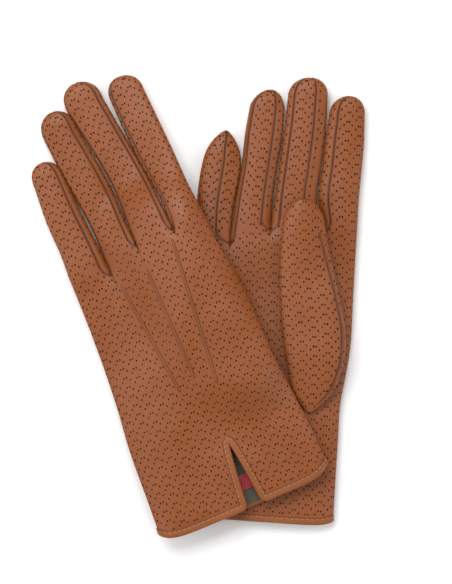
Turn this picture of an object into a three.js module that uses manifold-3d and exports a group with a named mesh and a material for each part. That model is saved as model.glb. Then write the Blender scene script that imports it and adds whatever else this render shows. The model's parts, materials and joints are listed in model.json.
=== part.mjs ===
// A pair of perforated leather gloves lying flat: the left glove, back up, on the right glove, palm up.
import * as THREE from 'three';
import { mergeVertices } from 'three/addons/utils/BufferGeometryUtils.js';
import Module from 'manifold-3d';

const wasm = await Module();
wasm.setup();

// Sizes in millimetres. In a glove's own frame +Y runs from the hem to the fingertips,
// +X to the index side, and z is 0 halfway through the flattened glove.
const LEATHER = 0.8;
const LINING = 0.5;
const GAP = 0.3;
const HALF_THICK = 4.5;
const THUMB_HALF_THICK = 3.9;
const THUMB_CLEARANCE = 0.4;
const STACK_CLEARANCE = 1.0;
const BRIDGE = 45;
const BINDING_WIDTH = 3;
const LINING_FROM_HEM = 0.6;
const SLIT_HALF = 2.3;
const FOURCHETTE_HALF = 2.6;
const KNUCKLE_BEVEL = THREE.MathUtils.degToRad(46);
const VENT = { x: 5, length: 36, half: 5.5 };
const LABEL = { x: 6, y: 13, width: 15, length: 8, thick: 0.4 };
const THUMB_HOLE = { x: 24, y: 84, halfWidth: 7, halfLength: 14 };
const RIDGE_HALF = 0.8;
const RIDGES = [
  { from: [-8, 70], to: [-15, 134] },
  { from: [2, 74], to: [1, 136] },
  { from: [12, 67], to: [19.5, 146] },
];
// The thumb's centre line and half width, from the point of its keystone to its tip.
const THUMB = [
  { y: 0, x: 0, half: 1.2 },
  { y: 8, x: 0.7, half: 8.5 },
  { y: 23, x: 1.2, half: 14.2 },
  { y: 43, x: -0.6, half: 16.8 },
  { y: 62, x: -4.2, half: 15.8 },
  { y: 80, x: -7.4, half: 14 },
  { y: 98, x: -9.6, half: 11.4 },
  { y: 113, x: -10.4, half: 0 },
];
const THUMB_TAPER = 34;
const THUMB_RINGS = 11;
// The thumb's hinge line: the shares of the thumb's length that it passes, and how far outside.
const THUMB_HINGE = { from: 1 / 7, to: 3 / 7, outside: 4 };
// The left glove's rise over its own thumb: the spine that it follows, and how far the rise spreads.
const THUMB_RISE = { from: 0.2, to: 0.86, full: 12, none: 38 };
const HEM_CUT = 2;
const PAST_EDGE = 10;
const KNUCKLE_OVERLAP = 4;
const SOCK_START = -8;
const WINDOW_START = -12;
const SLOT_LENGTH = 60;
const OUTER_REACH = 30;
const CUT_HEIGHT = 30;
const CUT_LENGTH = 120;
const CUT_REACH = 12;
const TIP_EASE = 1.6;
const THINNEST = 0.05;

const LEFT = {
  side: 'left',
  palm: -1,
  turn: THREE.MathUtils.degToRad(23),
  place: [25.3, -108.5],
  cuffHalf: 48,
  knuckleHalf: 39.6,
  thumb: [24.5, 53],
  ridgeProud: 0.6,
  fingers: [
    { name: 'little', knuckle: [-30.2, 168], tip: [-28.9, 211], half: 9, tipHalf: 7.6 },
    { name: 'ring', knuckle: [-9.8, 174], tip: [-10.6, 233], half: 9.2, tipHalf: 8.4 },
    { name: 'middle', knuckle: [10.6, 177], tip: [9, 243], half: 9.3, tipHalf: 8.6 },
    { name: 'index', knuckle: [30.6, 175], tip: [31, 237], half: 9, tipHalf: 8.4 },
  ],
  crotches: [[-19.6, 147], [0.6, 156], [20.9, 156]],
};
const RIGHT = {
  side: 'right',
  palm: 1,
  turn: THREE.MathUtils.degToRad(-4),
  place: [31, -115.6],
  cuffHalf: 42.5,
  knuckleHalf: 42,
  thumb: [23.5, 59],
  ridgeProud: 0,
  fingers: [
    { name: 'little', knuckle: [-31.6, 173], tip: [-30.4, 206], half: 9.2, tipHalf: 7 },
    { name: 'ring', knuckle: [-10.3, 179], tip: [-8.6, 229], half: 9.6, tipHalf: 8.8 },
    { name: 'middle', knuckle: [11.3, 181], tip: [12.2, 236], half: 9.6, tipHalf: 8.8 },
    { name: 'index', knuckle: [32.4, 179], tip: [32.6, 228], half: 9.2, tipHalf: 8.4 },
  ],
  crotches: [[-21, 152], [0.6, 160], [22, 160]],
};

const TAN = new THREE.MeshStandardMaterial({ color: 0x97573a, roughness: 0.55, metalness: 0 });
const DARK_TAN = new THREE.MeshStandardMaterial({ color: 0x7c4529, roughness: 0.55, metalness: 0 });
const OLIVE = new THREE.MeshStandardMaterial({ color: 0x4b463a, roughness: 0.95, metalness: 0 });
const RED = new THREE.MeshStandardMaterial({ color: 0x8c0f14, roughness: 0.7, metalness: 0 });

const smooth = THREE.MathUtils.smoothstep;

function halfWidth(glove, y) {
  const knuckleLine = glove.crotches[1][1];
  return THREE.MathUtils.lerp(glove.cuffHalf, glove.knuckleHalf, smooth(y, -knuckleLine / 2, knuckleLine));
}

function thumbAt(glove, part) {
  const spine = new THREE.CatmullRomCurve3(THUMB.map((p) => new THREE.Vector3(p.x, p.y, p.half)));
  const p = spine.getPoint(part);
  return { x: glove.thumb[0] + p.x, y: glove.thumb[1] + p.y, half: Math.max(p.z, 0) };
}

// How far the left glove stands above the table: it bridges the right glove's edge and its own thumb.
function leftLift(x, y) {
  const spot = new THREE.Vector2(x, y).rotateAround(new THREE.Vector2(), LEFT.turn);
  spot.add(new THREE.Vector2(...LEFT.place)).sub(new THREE.Vector2(...RIGHT.place));
  spot.rotateAround(new THREE.Vector2(), -RIGHT.turn);
  const inside = spot.x + halfWidth(RIGHT, spot.y);
  const over = smooth(inside, -BRIDGE, 0) * (2 * HALF_THICK + STACK_CLEARANCE);
  const low = thumbAt(LEFT, THUMB_RISE.from);
  const high = thumbAt(LEFT, THUMB_RISE.to);
  const spine = new THREE.Line3(new THREE.Vector3(low.x, low.y, 0), new THREE.Vector3(high.x, high.y, 0));
  const here = new THREE.Vector3(x, y, 0);
  const away = spine.closestPointToPoint(here, true, new THREE.Vector3()).distanceTo(here);
  const thumbRise = 2 * THUMB_HALF_THICK + 2 * THUMB_CLEARANCE;
  return over + thumbRise * (1 - smooth(away, THUMB_RISE.full, THUMB_RISE.none));
}

function lift(glove, x, y) {
  return glove === LEFT ? leftLift(x, y) : 0;
}

function draped(glove) {
  return (x, y, z) => [x, y, z + lift(glove, x, y)];
}

function merged(geometry) {
  geometry.deleteAttribute('normal');
  geometry.deleteAttribute('uv');
  return mergeVertices(geometry, 1e-4);
}

function solid(geometry) {
  const closed = merged(geometry);
  const vertProperties = new Float32Array(closed.attributes.position.array);
  const kept = [];
  const index = closed.index.array;
  for (let i = 0; i < index.length; i += 3) {
    const [a, b, c] = index.slice(i, i + 3);
    if (a !== b && b !== c && c !== a) kept.push(a, b, c);
  }
  return new wasm.Manifold(new wasm.Mesh({ numProp: 3, vertProperties, triVerts: new Uint32Array(kept) }));
}

function bent(geometry, place) {
  const position = geometry.attributes.position;
  for (let i = 0; i < position.count; i += 1) {
    position.setXYZ(i, ...place(position.getX(i), position.getY(i), position.getZ(i)));
  }
  return geometry;
}

// Stations round a flattened section with round sides: the share of the flat, and the angle.
function stations(arcSteps, flatSteps) {
  const upper = [];
  for (let i = 0; i <= arcSteps; i += 1) upper.push([1, (Math.PI / 2) * (i / arcSteps)]);
  for (let i = 1; i < flatSteps; i += 1) upper.push([1 - (2 * i) / flatSteps, Math.PI / 2]);
  for (let i = 0; i <= arcSteps; i += 1) upper.push([-1, (Math.PI / 2) * (1 + i / arcSteps)]);
  const lower = upper.slice(1, -1).reverse().map(([share, angle]) => [share, -angle]);
  return [...upper, ...lower];
}

function ring(place, around, { x = 0, y, z = 0, half, thick }) {
  const radius = Math.min(half, thick);
  return around.map(([share, angle]) => place(
    x + share * (half - radius) + radius * Math.cos(angle),
    y,
    z + radius * Math.sin(angle),
  ));
}

// A closed solid through rings that run along +Y. The two sides of a flattened section share the
// slant of their triangles, so that nested layers stay parallel where they twist.
function loft(rings) {
  const n = rings[0].length;
  const last = (rings.length - 1) * n;
  const index = [];
  const quad = (a, b, c, d) => index.push(a, b, c, a, c, d);
  for (let start = 0; start < last; start += n) {
    for (let k = 0; k < n; k += 1) {
      const here = start + k;
      const next = start + ((k + 1) % n);
      if (k < n / 2) quad(here, here + n, next + n, next);
      else quad(next, here, here + n, next + n);
    }
  }
  for (let k = 0; k < n / 2; k += 1) {
    const mirror = (n - k) % n;
    quad(k, k + 1, n - k - 1, mirror);
    quad(last + k, last + mirror, last + n - k - 1, last + k + 1);
  }
  const geometry = new THREE.BufferGeometry();
  geometry.setAttribute('position', new THREE.Float32BufferAttribute(rings.flat(2), 3));
  geometry.setIndex(index);
  return solid(geometry);
}

function block(place, [x0, x1], [y0, y1], [z0, z1], stepX = 1, stepY = 1) {
  const box = new THREE.BoxGeometry(x1 - x0, y1 - y0, z1 - z0, stepX, stepY, 1);
  box.translate((x0 + x1) / 2, (y0 + y1) / 2, (z0 + z1) / 2);
  return solid(bent(box, place));
}

const upright = (x, y, z) => [x, y, z];

function prism(points, [z0, z1], place = upright) {
  const shape = new THREE.Shape(points.map(([x, y]) => new THREE.Vector2(x, y)));
  const geometry = new THREE.ExtrudeGeometry(shape, { depth: z1 - z0, bevelEnabled: false });
  geometry.translate(0, 0, z0);
  return solid(bent(geometry, place));
}

const ALL_HEIGHTS = [-40, 60];
const HAND_STATIONS = stations(2, 6);
const HAND_RINGS = 11;

function steps(from, to, count) {
  return Array.from({ length: count + 1 }, (_, i) => from + ((to - from) * i) / count);
}

function fingerAngle(finger) {
  return Math.atan2(finger.knuckle[0] - finger.tip[0], finger.tip[1] - finger.knuckle[1]);
}

function fingerLength(finger) {
  return Math.hypot(finger.tip[0] - finger.knuckle[0], finger.tip[1] - finger.knuckle[1]);
}

// From a finger's own frame, with its knuckle at 0, to the glove's frame.
function onFinger(glove, finger) {
  const cos = Math.cos(fingerAngle(finger));
  const sin = Math.sin(fingerAngle(finger));
  const drape = draped(glove);
  return (x, y, z) => drape(finger.knuckle[0] + x * cos - y * sin, finger.knuckle[1] + x * sin + y * cos, z);
}

// Where the hand's rings stand along its length. Every layer shares them, so that all drape alike.
function handRings(glove, from) {
  const end = Math.max(...glove.fingers.map((f) => f.knuckle[1])) + KNUCKLE_OVERLAP;
  return [from, ...steps(0, end, HAND_RINGS).slice(1)];
}

function handTube(glove, inset, from) {
  const place = draped(glove);
  return loft(handRings(glove, from).map((y) => ring(place, HAND_STATIONS, {
    y,
    half: halfWidth(glove, y) - inset,
    thick: HALF_THICK - inset,
  })));
}

// A flat layer that follows the glove's middle surface and reaches past its edges.
function handLayer(glove, [z0, z1]) {
  const place = draped(glove);
  const past = PAST_EDGE;
  return loft(handRings(glove, -HEM_CUT).map((y) => {
    const half = halfWidth(glove, y);
    const upper = HAND_STATIONS.slice(0, HAND_STATIONS.length / 2 + 1);
    const across = upper.map(([share, angle]) => share * (half - HALF_THICK) + HALF_THICK * Math.cos(angle));
    const at = (x, out, z) => {
      const [, , height] = place(x, y, z);
      return [x + out, y, height];
    };
    const right = [at(half, past, z1), at(half, past + 1, (z0 + z1) / 2), at(half, past, z0)];
    const left = [at(-half, -past, z1), at(-half, -past - 1, (z0 + z1) / 2), at(-half, -past, z0)];
    const top = across.map((x) => at(x, 0, z1));
    const bottom = across.map((x) => at(x, 0, z0)).reverse();
    return [right[1], right[0], ...top, left[0], left[1], left[2], ...bottom, right[2]];
  }));
}

// The slot between two fingers, widened or narrowed by a margin, round at the crotch.
function slot(glove, i, margin) {
  const [x, y] = glove.crotches[i];
  const half = SLIT_HALF + margin;
  const lean = (fingerAngle(glove.fingers[i]) + fingerAngle(glove.fingers[i + 1])) / 2;
  const outline = steps(Math.PI, 2 * Math.PI, 6).map((a) => [half * Math.cos(a), half * Math.sin(a)]);
  outline.push([half, SLOT_LENGTH], [-half, SLOT_LENGTH]);
  const turned = outline.map(([u, v]) => {
    const spot = new THREE.Vector2(u, v).rotateAround(new THREE.Vector2(), lean);
    return [x + spot.x, y + SLIT_HALF + spot.y];
  });
  return prism(turned, ALL_HEIGHTS);
}

function ventWedge(glove, margin) {
  const slope = VENT.half / VENT.length;
  const half = VENT.half + margin * Math.hypot(1, slope);
  const apex = VENT.length + margin / Math.sin(Math.atan(slope));
  const blunt = Math.min(apex, VENT.length + margin);
  const bluntHalf = half * (1 - blunt / apex);
  const outline = [
    [VENT.x - half - slope, -1],
    [VENT.x + half + slope, -1],
    [VENT.x + bluntHalf + 0.2, blunt],
    [VENT.x - bluntHalf - 0.2, blunt],
  ];
  const reach = -glove.palm * (HALF_THICK + HEM_CUT);
  return prism(outline, [Math.min(0, reach), Math.max(0, reach)], draped(glove));
}

function hemBand(glove, width) {
  const wide = glove.cuffHalf + 20;
  return prism([[-wide, -5], [wide, -5], [wide, width], [-wide, width]], ALL_HEIGHTS);
}

// The empty space on one side of a knuckle. It is square through the back of the finger and
// bevelled through the palm side, so that the finger bends without its edges meeting.
function knuckleCut(glove, finger, towards, reach = [CUT_REACH, CUT_REACH]) {
  const tall = CUT_HEIGHT;
  const far = CUT_LENGTH;
  const g = GAP / 2;
  const palm = glove.palm;
  const outline = [
    [-g * towards, -palm * tall],
    [-g * towards, 0],
    [-(g + Math.tan(KNUCKLE_BEVEL) * tall) * towards, palm * tall],
    [far * towards, palm * tall],
    [far * towards, -palm * tall],
  ];
  const shape = new THREE.Shape(outline.map(([u, v]) => new THREE.Vector2(u, v)));
  const geometry = new THREE.ExtrudeGeometry(shape, { depth: reach[0] + reach[1], bevelEnabled: false });
  const across = new THREE.Matrix4().makeBasis(
    new THREE.Vector3(0, 1, 0),
    new THREE.Vector3(0, 0, 1),
    new THREE.Vector3(1, 0, 0),
  );
  geometry.applyMatrix4(across);
  geometry.translate(-reach[0], 0, 0);
  geometry.rotateZ(fingerAngle(finger));
  geometry.translate(...finger.knuckle, lift(glove, ...finger.knuckle));
  return solid(geometry);
}

// What is left of a hand piece once the slots, the moving fingers and the space round them are taken off.
function withoutFingers(glove, piece, slots) {
  let left = piece;
  glove.fingers.forEach((finger, i) => {
    const reach = [glove.fingers[i - 1], glove.fingers[i + 1]].map((beside) => (
      beside ? Math.abs(finger.knuckle[0] - beside.knuckle[0]) / 2 : OUTER_REACH));
    left = left.subtract(knuckleCut(glove, finger, 1, reach));
  });
  slots.forEach((cutter) => {
    left = left.subtract(cutter);
  });
  return left;
}

function addNode(group, name, piece, material) {
  const mesh = piece.getMesh();
  const geometry = new THREE.BufferGeometry();
  geometry.setAttribute('position', new THREE.Float32BufferAttribute(mesh.vertProperties, 3));
  geometry.setIndex(Array.from(mesh.triVerts));
  group.updateWorldMatrix(true, false);
  if (group.userData.inGlove) geometry.applyMatrix4(group.userData.inGlove.clone().invert());
  geometry.computeVertexNormals();
  const node = new THREE.Mesh(geometry, material.clone());
  node.name = name;
  group.add(node);
}

function pivot(glove, gloveGroup, name, x, y, z, turn) {
  const group = new THREE.Group();
  group.name = `${glove.side}_${name}`;
  group.position.set(x, y, z);
  group.rotation.z = turn;
  group.updateMatrix();
  group.userData.inGlove = group.matrix.clone();
  gloveGroup.add(group);
  return group;
}

function thumbHole(glove) {
  const { x, y, halfWidth: wide, halfLength: long } = THUMB_HOLE;
  const outline = steps(0, 2 * Math.PI, 16).slice(0, -1).map((a) => [
    x + wide * Math.cos(a),
    y + long * Math.sin(a),
  ]);
  const reach = glove.palm * (HALF_THICK + THUMB_CLEARANCE + THUMB_HALF_THICK);
  return prism(outline, [Math.min(0, reach), Math.max(0, reach)], draped(glove));
}

function ridgeOutline(ridge, margin) {
  const [x0, y0] = ridge.from;
  const [x1, y1] = ridge.to;
  const along = new THREE.Vector2(x1 - x0, y1 - y0).normalize();
  const out = new THREE.Vector2(along.y, -along.x).multiplyScalar(RIDGE_HALF + margin);
  const end = along.multiplyScalar(margin);
  return [
    [x0 - end.x - out.x, y0 - end.y - out.y],
    [x0 - end.x + out.x, y0 - end.y + out.y],
    [x1 + end.x + out.x, y1 + end.y + out.y],
    [x1 + end.x - out.x, y1 + end.y - out.y],
  ];
}

function addHand(glove, group) {
  const { side, palm } = glove;
  const outer = handTube(glove, 0, 0);
  const hollow = handTube(glove, LEATHER, -HEM_CUT);
  const skin = outer.subtract(hollow);
  const slots = glove.crotches.map((_, i) => slot(glove, i, 0));
  const body = withoutFingers(glove, skin, slots);
  const edge = BINDING_WIDTH + GAP;
  const vent = ventWedge(glove, 0);
  const palmLayer = handLayer(glove, [0, palm * (HALF_THICK + PAST_EDGE)].sort((a, b) => a - b));
  const open = body.subtract(hemBand(glove, edge)).subtract(handLayer(glove, [-GAP / 2, GAP / 2]));
  const palmPanel = open.intersect(palmLayer).subtract(thumbHole(glove));
  let backPanel = open.subtract(palmLayer).subtract(ventWedge(glove, edge));
  const edges = hemBand(glove, BINDING_WIDTH).add(ventWedge(glove, BINDING_WIDTH));
  const binding = body.intersect(edges).subtract(vent);
  addNode(group, `${side}_cuff_binding`, binding, DARK_TAN);

  RIDGES.forEach((ridge, i) => {
    backPanel = backPanel.subtract(prism(ridgeOutline(ridge, GAP), ALL_HEIGHTS));
    const raised = handTube(glove, -glove.ridgeProud, 0).subtract(hollow).subtract(palmLayer);
    const point = raised.intersect(prism(ridgeOutline(ridge, 0), ALL_HEIGHTS));
    addNode(group, `${side}_point_${i + 1}`, point, TAN);
  });
  addNode(group, `${side}_back_panel`, backPanel, TAN);
  addNode(group, `${side}_palm_panel`, palmPanel, TAN);

  const inset = LEATHER + GAP;
  const linen = handTube(glove, inset, LINING_FROM_HEM)
    .subtract(handTube(glove, inset + LINING, -HEM_CUT));
  const lining = withoutFingers(glove, linen, slots).subtract(vent).subtract(thumbHole(glove));
  addNode(group, `${side}_hand_lining`, lining, OLIVE);

  const labelInset = inset + LINING + GAP;
  const labelLayer = handTube(glove, labelInset, 0)
    .subtract(handTube(glove, labelInset + LABEL.thick, -HEM_CUT));
  const label = labelLayer.intersect(palmLayer).intersect(block(
    upright,
    [LABEL.x - LABEL.width / 2, LABEL.x + LABEL.width / 2],
    [LABEL.y - LABEL.length / 2, LABEL.y + LABEL.length / 2],
    ALL_HEIGHTS,
  ));
  addNode(group, `${side}_label`, label, RED);

  const between = ['little_ring', 'ring_middle', 'middle_index'];
  between.forEach((name, i) => {
    const wall = slot(glove, i, -GAP).subtract(slot(glove, i, -GAP - LEATHER));
    addNode(group, `${side}_${name}_fork`, withoutFingers(glove, outer.intersect(wall), []), TAN);
  });
}

function sock(glove, finger, inset, around) {
  const place = onFinger(glove, finger);
  const round = finger.tipHalf;
  const neck = fingerLength(finger) - round;
  const rings = steps(SOCK_START, neck, 3).map((y) => ring(place, around, {
    y,
    half: THREE.MathUtils.mapLinear(y, 0, neck, finger.half, finger.tipHalf) - inset,
    thick: HALF_THICK - inset,
  }));
  steps(0, Math.PI / 2, 3).slice(1).forEach((angle) => rings.push(ring(place, around, {
    y: neck + (round - inset) * Math.sin(angle),
    half: (round - inset) * Math.max(Math.cos(angle), 0),
    thick: HALF_THICK - inset,
  })));
  return loft(rings);
}

function window(glove, finger, hand, margin) {
  const inner = hand * (finger.tipHalf - HALF_THICK);
  const far = hand * (finger.half + PAST_EDGE);
  const z = FOURCHETTE_HALF + margin;
  const end = fingerLength(finger) - finger.tipHalf + margin;
  const across = [Math.min(inner, far), Math.max(inner, far)];
  return block(onFinger(glove, finger), across, [WINDOW_START, end], [-z, z], 1, 4);
}

function addFinger(glove, gloveGroup, finger, hands) {
  const z = lift(glove, ...finger.knuckle);
  const group = pivot(glove, gloveGroup, `${finger.name}_finger`, ...finger.knuckle, z, fingerAngle(finger));
  const name = `${glove.side}_${finger.name}`;
  const cut = knuckleCut(glove, finger, -1);
  const around = stations(2, 2);
  const skin = sock(glove, finger, 0, around)
    .subtract(sock(glove, finger, LEATHER, around))
    .subtract(cut);
  let stall = skin;
  hands.forEach(([hand, label]) => {
    stall = stall.subtract(window(glove, finger, hand, 0));
    addNode(group, `${name}_${label}`, skin.intersect(window(glove, finger, hand, -GAP)), DARK_TAN);
  });
  addNode(group, `${name}_stall`, stall, TAN);
  const inset = LEATHER + GAP;
  const lining = sock(glove, finger, inset, around)
    .subtract(sock(glove, finger, inset + LINING, around))
    .subtract(cut);
  addNode(group, `${name}_lining`, lining, OLIVE);
}

function thumbLoft(glove, inset, around) {
  const place = draped(glove);
  const rings = steps(0, 1, THUMB_RINGS).map((part) => {
    const eased = 1 - (1 - part) ** TIP_EASE;
    const { x, y, half } = thumbAt(glove, eased);
    const full = THUMB_HALF_THICK * smooth(y - glove.thumb[1], -THUMB_TAPER / 2, THUMB_TAPER);
    const thick = Math.min(full, half);
    const z = glove.palm * (HALF_THICK + THUMB_CLEARANCE + thick);
    return { x, y, z, half: half - inset, thick: thick - inset };
  }).filter((r) => r.thick > THINNEST || inset === 0);
  rings.forEach((r) => {
    r.half = Math.max(r.half, 0);
    r.thick = Math.max(r.thick, 0);
  });
  return loft(rings.map((r) => ring(place, around, r)));
}

function addThumb(glove, gloveGroup) {
  const low = thumbAt(glove, THUMB_HINGE.from);
  const high = thumbAt(glove, THUMB_HINGE.to);
  const foot = new THREE.Vector2(low.x + low.half, low.y);
  const head = new THREE.Vector2(high.x + high.half, high.y);
  const out = head.clone().sub(foot).normalize();
  foot.add(new THREE.Vector2(out.y, -out.x).multiplyScalar(THUMB_HINGE.outside));
  const turn = -Math.atan2(out.x, out.y);
  const z = lift(glove, foot.x, foot.y) + glove.palm * (HALF_THICK + THUMB_CLEARANCE);
  const group = pivot(glove, gloveGroup, 'thumb', foot.x, foot.y, z, turn);
  const hole = thumbHole(glove);
  const around = stations(2, 3);
  const stall = thumbLoft(glove, 0, around).subtract(thumbLoft(glove, LEATHER, around));
  const clear = handTube(glove, -GAP, 0);
  addNode(group, `${glove.side}_thumb_stall`, stall.subtract(hole).subtract(clear), TAN);
  const inset = LEATHER + GAP;
  const lining = thumbLoft(glove, inset, around).subtract(thumbLoft(glove, inset + LINING, around));
  addNode(group, `${glove.side}_thumb_lining`, lining.subtract(hole), OLIVE);
}

function makeGlove(glove) {
  const group = new THREE.Group();
  group.name = `${glove.side}_glove`;
  group.position.set(...glove.place, HALF_THICK);
  group.rotation.z = glove.turn;
  addHand(glove, group);
  const [little, ringFinger, middle, index] = glove.fingers;
  addFinger(glove, group, little, [[1, 'fourchette']]);
  addFinger(glove, group, ringFinger, [[-1, 'outer_fourchette'], [1, 'inner_fourchette']]);
  addFinger(glove, group, middle, [[-1, 'outer_fourchette'], [1, 'inner_fourchette']]);
  addFinger(glove, group, index, [[-1, 'fourchette']]);
  addThumb(glove, group);
  return group;
}

const pair = new THREE.Group();
pair.name = 'leather_gloves';
pair.add(makeGlove(RIGHT), makeGlove(LEFT));
pair.updateWorldMatrix(true, true);
const middle = new THREE.Box3().setFromObject(pair, true).getCenter(new THREE.Vector3());
pair.position.set(-middle.x, -middle.y, 0);
pair.updateWorldMatrix(true, true);

export default pair;
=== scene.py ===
"""A pair of perforated leather gloves lying crossed: the left one, back up, on the right one, palm up."""

import json
import math

import bpy
import numpy as np
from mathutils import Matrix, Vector
from mathutils.bvhtree import BVHTree


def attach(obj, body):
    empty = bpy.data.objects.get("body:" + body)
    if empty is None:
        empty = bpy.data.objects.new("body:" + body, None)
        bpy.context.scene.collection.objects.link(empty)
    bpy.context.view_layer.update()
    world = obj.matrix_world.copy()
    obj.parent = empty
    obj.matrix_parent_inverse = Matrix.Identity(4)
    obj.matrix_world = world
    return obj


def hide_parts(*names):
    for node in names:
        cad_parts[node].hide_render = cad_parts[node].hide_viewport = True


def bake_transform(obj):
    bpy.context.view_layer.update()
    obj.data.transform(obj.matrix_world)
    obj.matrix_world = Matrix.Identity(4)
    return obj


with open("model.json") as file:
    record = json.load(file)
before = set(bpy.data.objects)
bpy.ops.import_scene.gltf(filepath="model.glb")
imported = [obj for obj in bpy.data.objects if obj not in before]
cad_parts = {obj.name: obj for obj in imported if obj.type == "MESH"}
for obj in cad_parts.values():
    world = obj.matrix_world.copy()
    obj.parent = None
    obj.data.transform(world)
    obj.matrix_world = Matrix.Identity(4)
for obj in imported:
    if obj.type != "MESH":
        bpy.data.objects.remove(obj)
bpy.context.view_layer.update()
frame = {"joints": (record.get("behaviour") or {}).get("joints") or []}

# Sizes are in millimetres until a mesh is made. In a glove's own frame x runs to the index side,
# y from the hem to the fingertips, and z out of the back of the hand.
MM = 0.001
LEATHER = 0.8
LINING_GAP = 0.35
LINING = 0.45
HAND_HIGH = 4.5
FINGER_HIGH = 4.3
THUMB_HIGH = 3.9
THUMB_CLEAR = 0.4
STACK_CLEAR = 1.0
BRIDGE = 45.0
ROUNDNESS = 2.4
BINDING = 3.0
FAR = 99.0
RIDGES = [((-8, 70), (-15, 134)), ((2, 74), (1, 136)), ((12, 67), (19.5, 146))]
VENT_X, VENT_LONG, VENT_OPEN = 5.0, 36.0, 4.6
# The perforations: arches of four slits in columns, every other column set further along.
COLUMN, ROW, SET_ALONG = 6.75, 5.05, 2.1
PALM_ISLAND = 20 * COLUMN
FINGER_ISLAND = 40 * COLUMN
FORK_ISLAND = 200 * COLUMN
SLIT_WIDE, SLIT_LONG, SLIT_MARGIN = 0.85, 1.25, 1.1
CROTCH_PLAIN = 4.0  # how far round each crotch the leather has no slits
GRID = 1.0

# The thumb's centre line and half width above the point of its keystone.
THUMB_SPINE = [(0, 0, 1.2), (8, 0.7, 8.5), (23, 1.2, 14.2), (43, -0.6, 16.8),
               (62, -4.2, 15.8), (80, -7.4, 14.0), (98, -9.6, 11.4), (113, -10.4, 0.0)]

# A finger: its name and middle joint, its edges as (how far up, left, right), its tip, how long and
# how blunt the tip's rounding is, and the angles of its seams round the section, from the index side
# over the back: each side's back seam and palm seam.
LEFT = {
    "side": "left", "turn": 23.0, "palm": -1, "thumb": (24.5, 53.0), "hem_rise": (6.0, 6.0),
    "left_edge": [(0, -48.2), (25, -46.8), (50, -45.6), (78, -42.5), (105, -40.6), (150, -39.2)],
    "right_edge": [(0, 48.6), (28, 48.0), (52, 46.3), (70, 44.8), (100, 44.6), (122, 43.0), (157, 39.8)],
    "slits": [(-17.8, 147.0), (0.7, 156.0), (22.0, 156.0)],
    "fingers": [
        ("little", (-30.2, 168), [(160, -38.6, -18.2), (180, -38.8, -19.5), (200, -37.4, -20.2)],
         (-29.0, 210.6), (10.5, 2.6, 0.5), {"right": (54, -32)}),
        ("ring", (-9.8, 174), [(165, -17.8, 0.4), (180, -19.0, 0.7), (205, -21.6, -1.6), (220, -22.7, -3.8)],
         (-13.2, 233.2), (10.5, 2.2, 0.5), {"right": (50, -30), "left": (165, 225)}),
        ("middle", (10.6, 177), [(165, 1.0, 21.8), (185, 1.0, 20.4), (205, -1.2, 18.0), (230, -5.6, 15.0)],
         (4.2, 242.6), (11.0, 2.3, 0.5), {"right": (45, -30), "left": (165, 225)}),
        ("index", (30.6, 175), [(165, 22.2, 39.1), (190, 19.2, 38.4), (210, 18.1, 37.6), (225, 17.8, 36.9)],
         (26.9, 236.8), (10.0, 2.4, 0.5), {"left": (144, 215)}),
    ],
}
RIGHT = {
    "side": "right", "turn": -4.0, "palm": 1, "thumb": (23.5, 59.0), "hem_rise": (1.0, 3.0),
    "left_edge": [(0, -42.5), (80, -42), (150, -42.4)],
    "right_edge": [(0, 40.4), (45, 40), (66, 40.0), (80, 41.8), (93, 43), (122, 42.8), (160, 42.4)],
    "slits": [(-24.6, 151.5), (-3.4, 160.0), (23.2, 160.4)],
    "fingers": [
        ("little", (-31.6, 173), [(165, -43.6, -23.9), (180, -43.2, -21.9), (189, -42.0, -21.3)],
         (-30.6, 205.6), (18.0, 1.8, 0.75), {"right": (34, -86)}),
        ("ring", (-10.3, 179),
         [(168, -23.4, -3.3), (188, -21.3, -2.1), (205, -20.7, -0.6), (217, -19.4, -0.3)],
         (-8.4, 228.7), (12.0, 2.0, 0.55), {"right": (28, -64), "left": (160, 219)}),
        ("middle", (11.3, 181), [(170, -2.8, 20.4), (190, -1.5, 21.2), (212, 0.1, 22.2), (225, 0.6, 22.0)],
         (12.4, 236.5), (11.5, 2.6, 0.5), {"right": (24, -70), "left": (150, 231)}),
        ("index", (32.4, 179), [(170, 20.8, 42.3), (192, 21.6, 42.8), (205, 22.1, 43.0), (216, 23.1, 42.4)],
         (33.8, 228.2), (11.0, 2.3, 0.5), {"left": (150, 243)}),
    ],
}
GLOVES = [RIGHT, LEFT]


def smooth(value, low, high):
    t = np.clip((value - low) / (high - low), 0, 1)
    return t * t * (3 - 2 * t)


def curve(points, at):
    """A smooth line through a few given points."""
    xs, ys = np.array(points, float).T
    slopes = np.gradient(ys, xs)
    at = np.clip(at, xs[0], xs[-1])
    k = np.clip(np.searchsorted(xs, at, side="right") - 1, 0, len(xs) - 2)
    span = xs[k + 1] - xs[k]
    t = (at - xs[k]) / span
    a, b = ys[k], ys[k + 1]
    ma, mb = slopes[k] * span, slopes[k + 1] * span
    ends = (2 * t**3 - 3 * t**2 + 1) * a + (t**3 - 2 * t**2 + t) * ma
    return ends + (3 * t**2 - 2 * t**3) * b + (t**3 - t**2) * mb


def turned(x, y, degrees):
    a = math.radians(degrees)
    return x * math.cos(a) - y * math.sin(a), x * math.sin(a) + y * math.cos(a)


JOINTS = {j["name"]: j for j in frame["joints"]}


def hem_centre(glove):
    """The glove's own origin in the row frame, from the CAD's middle finger hinge."""
    knuckle = glove["fingers"][2][1]
    x, y = turned(knuckle[0], knuckle[1], glove["turn"])
    pos = JOINTS[f"{glove['side']}_middle_bend"]["pos_m"]
    return pos[0] / MM - x, pos[1] / MM - y


def hand_edges(glove, y):
    return curve(glove["left_edge"], y), curve(glove["right_edge"], y)


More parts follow.
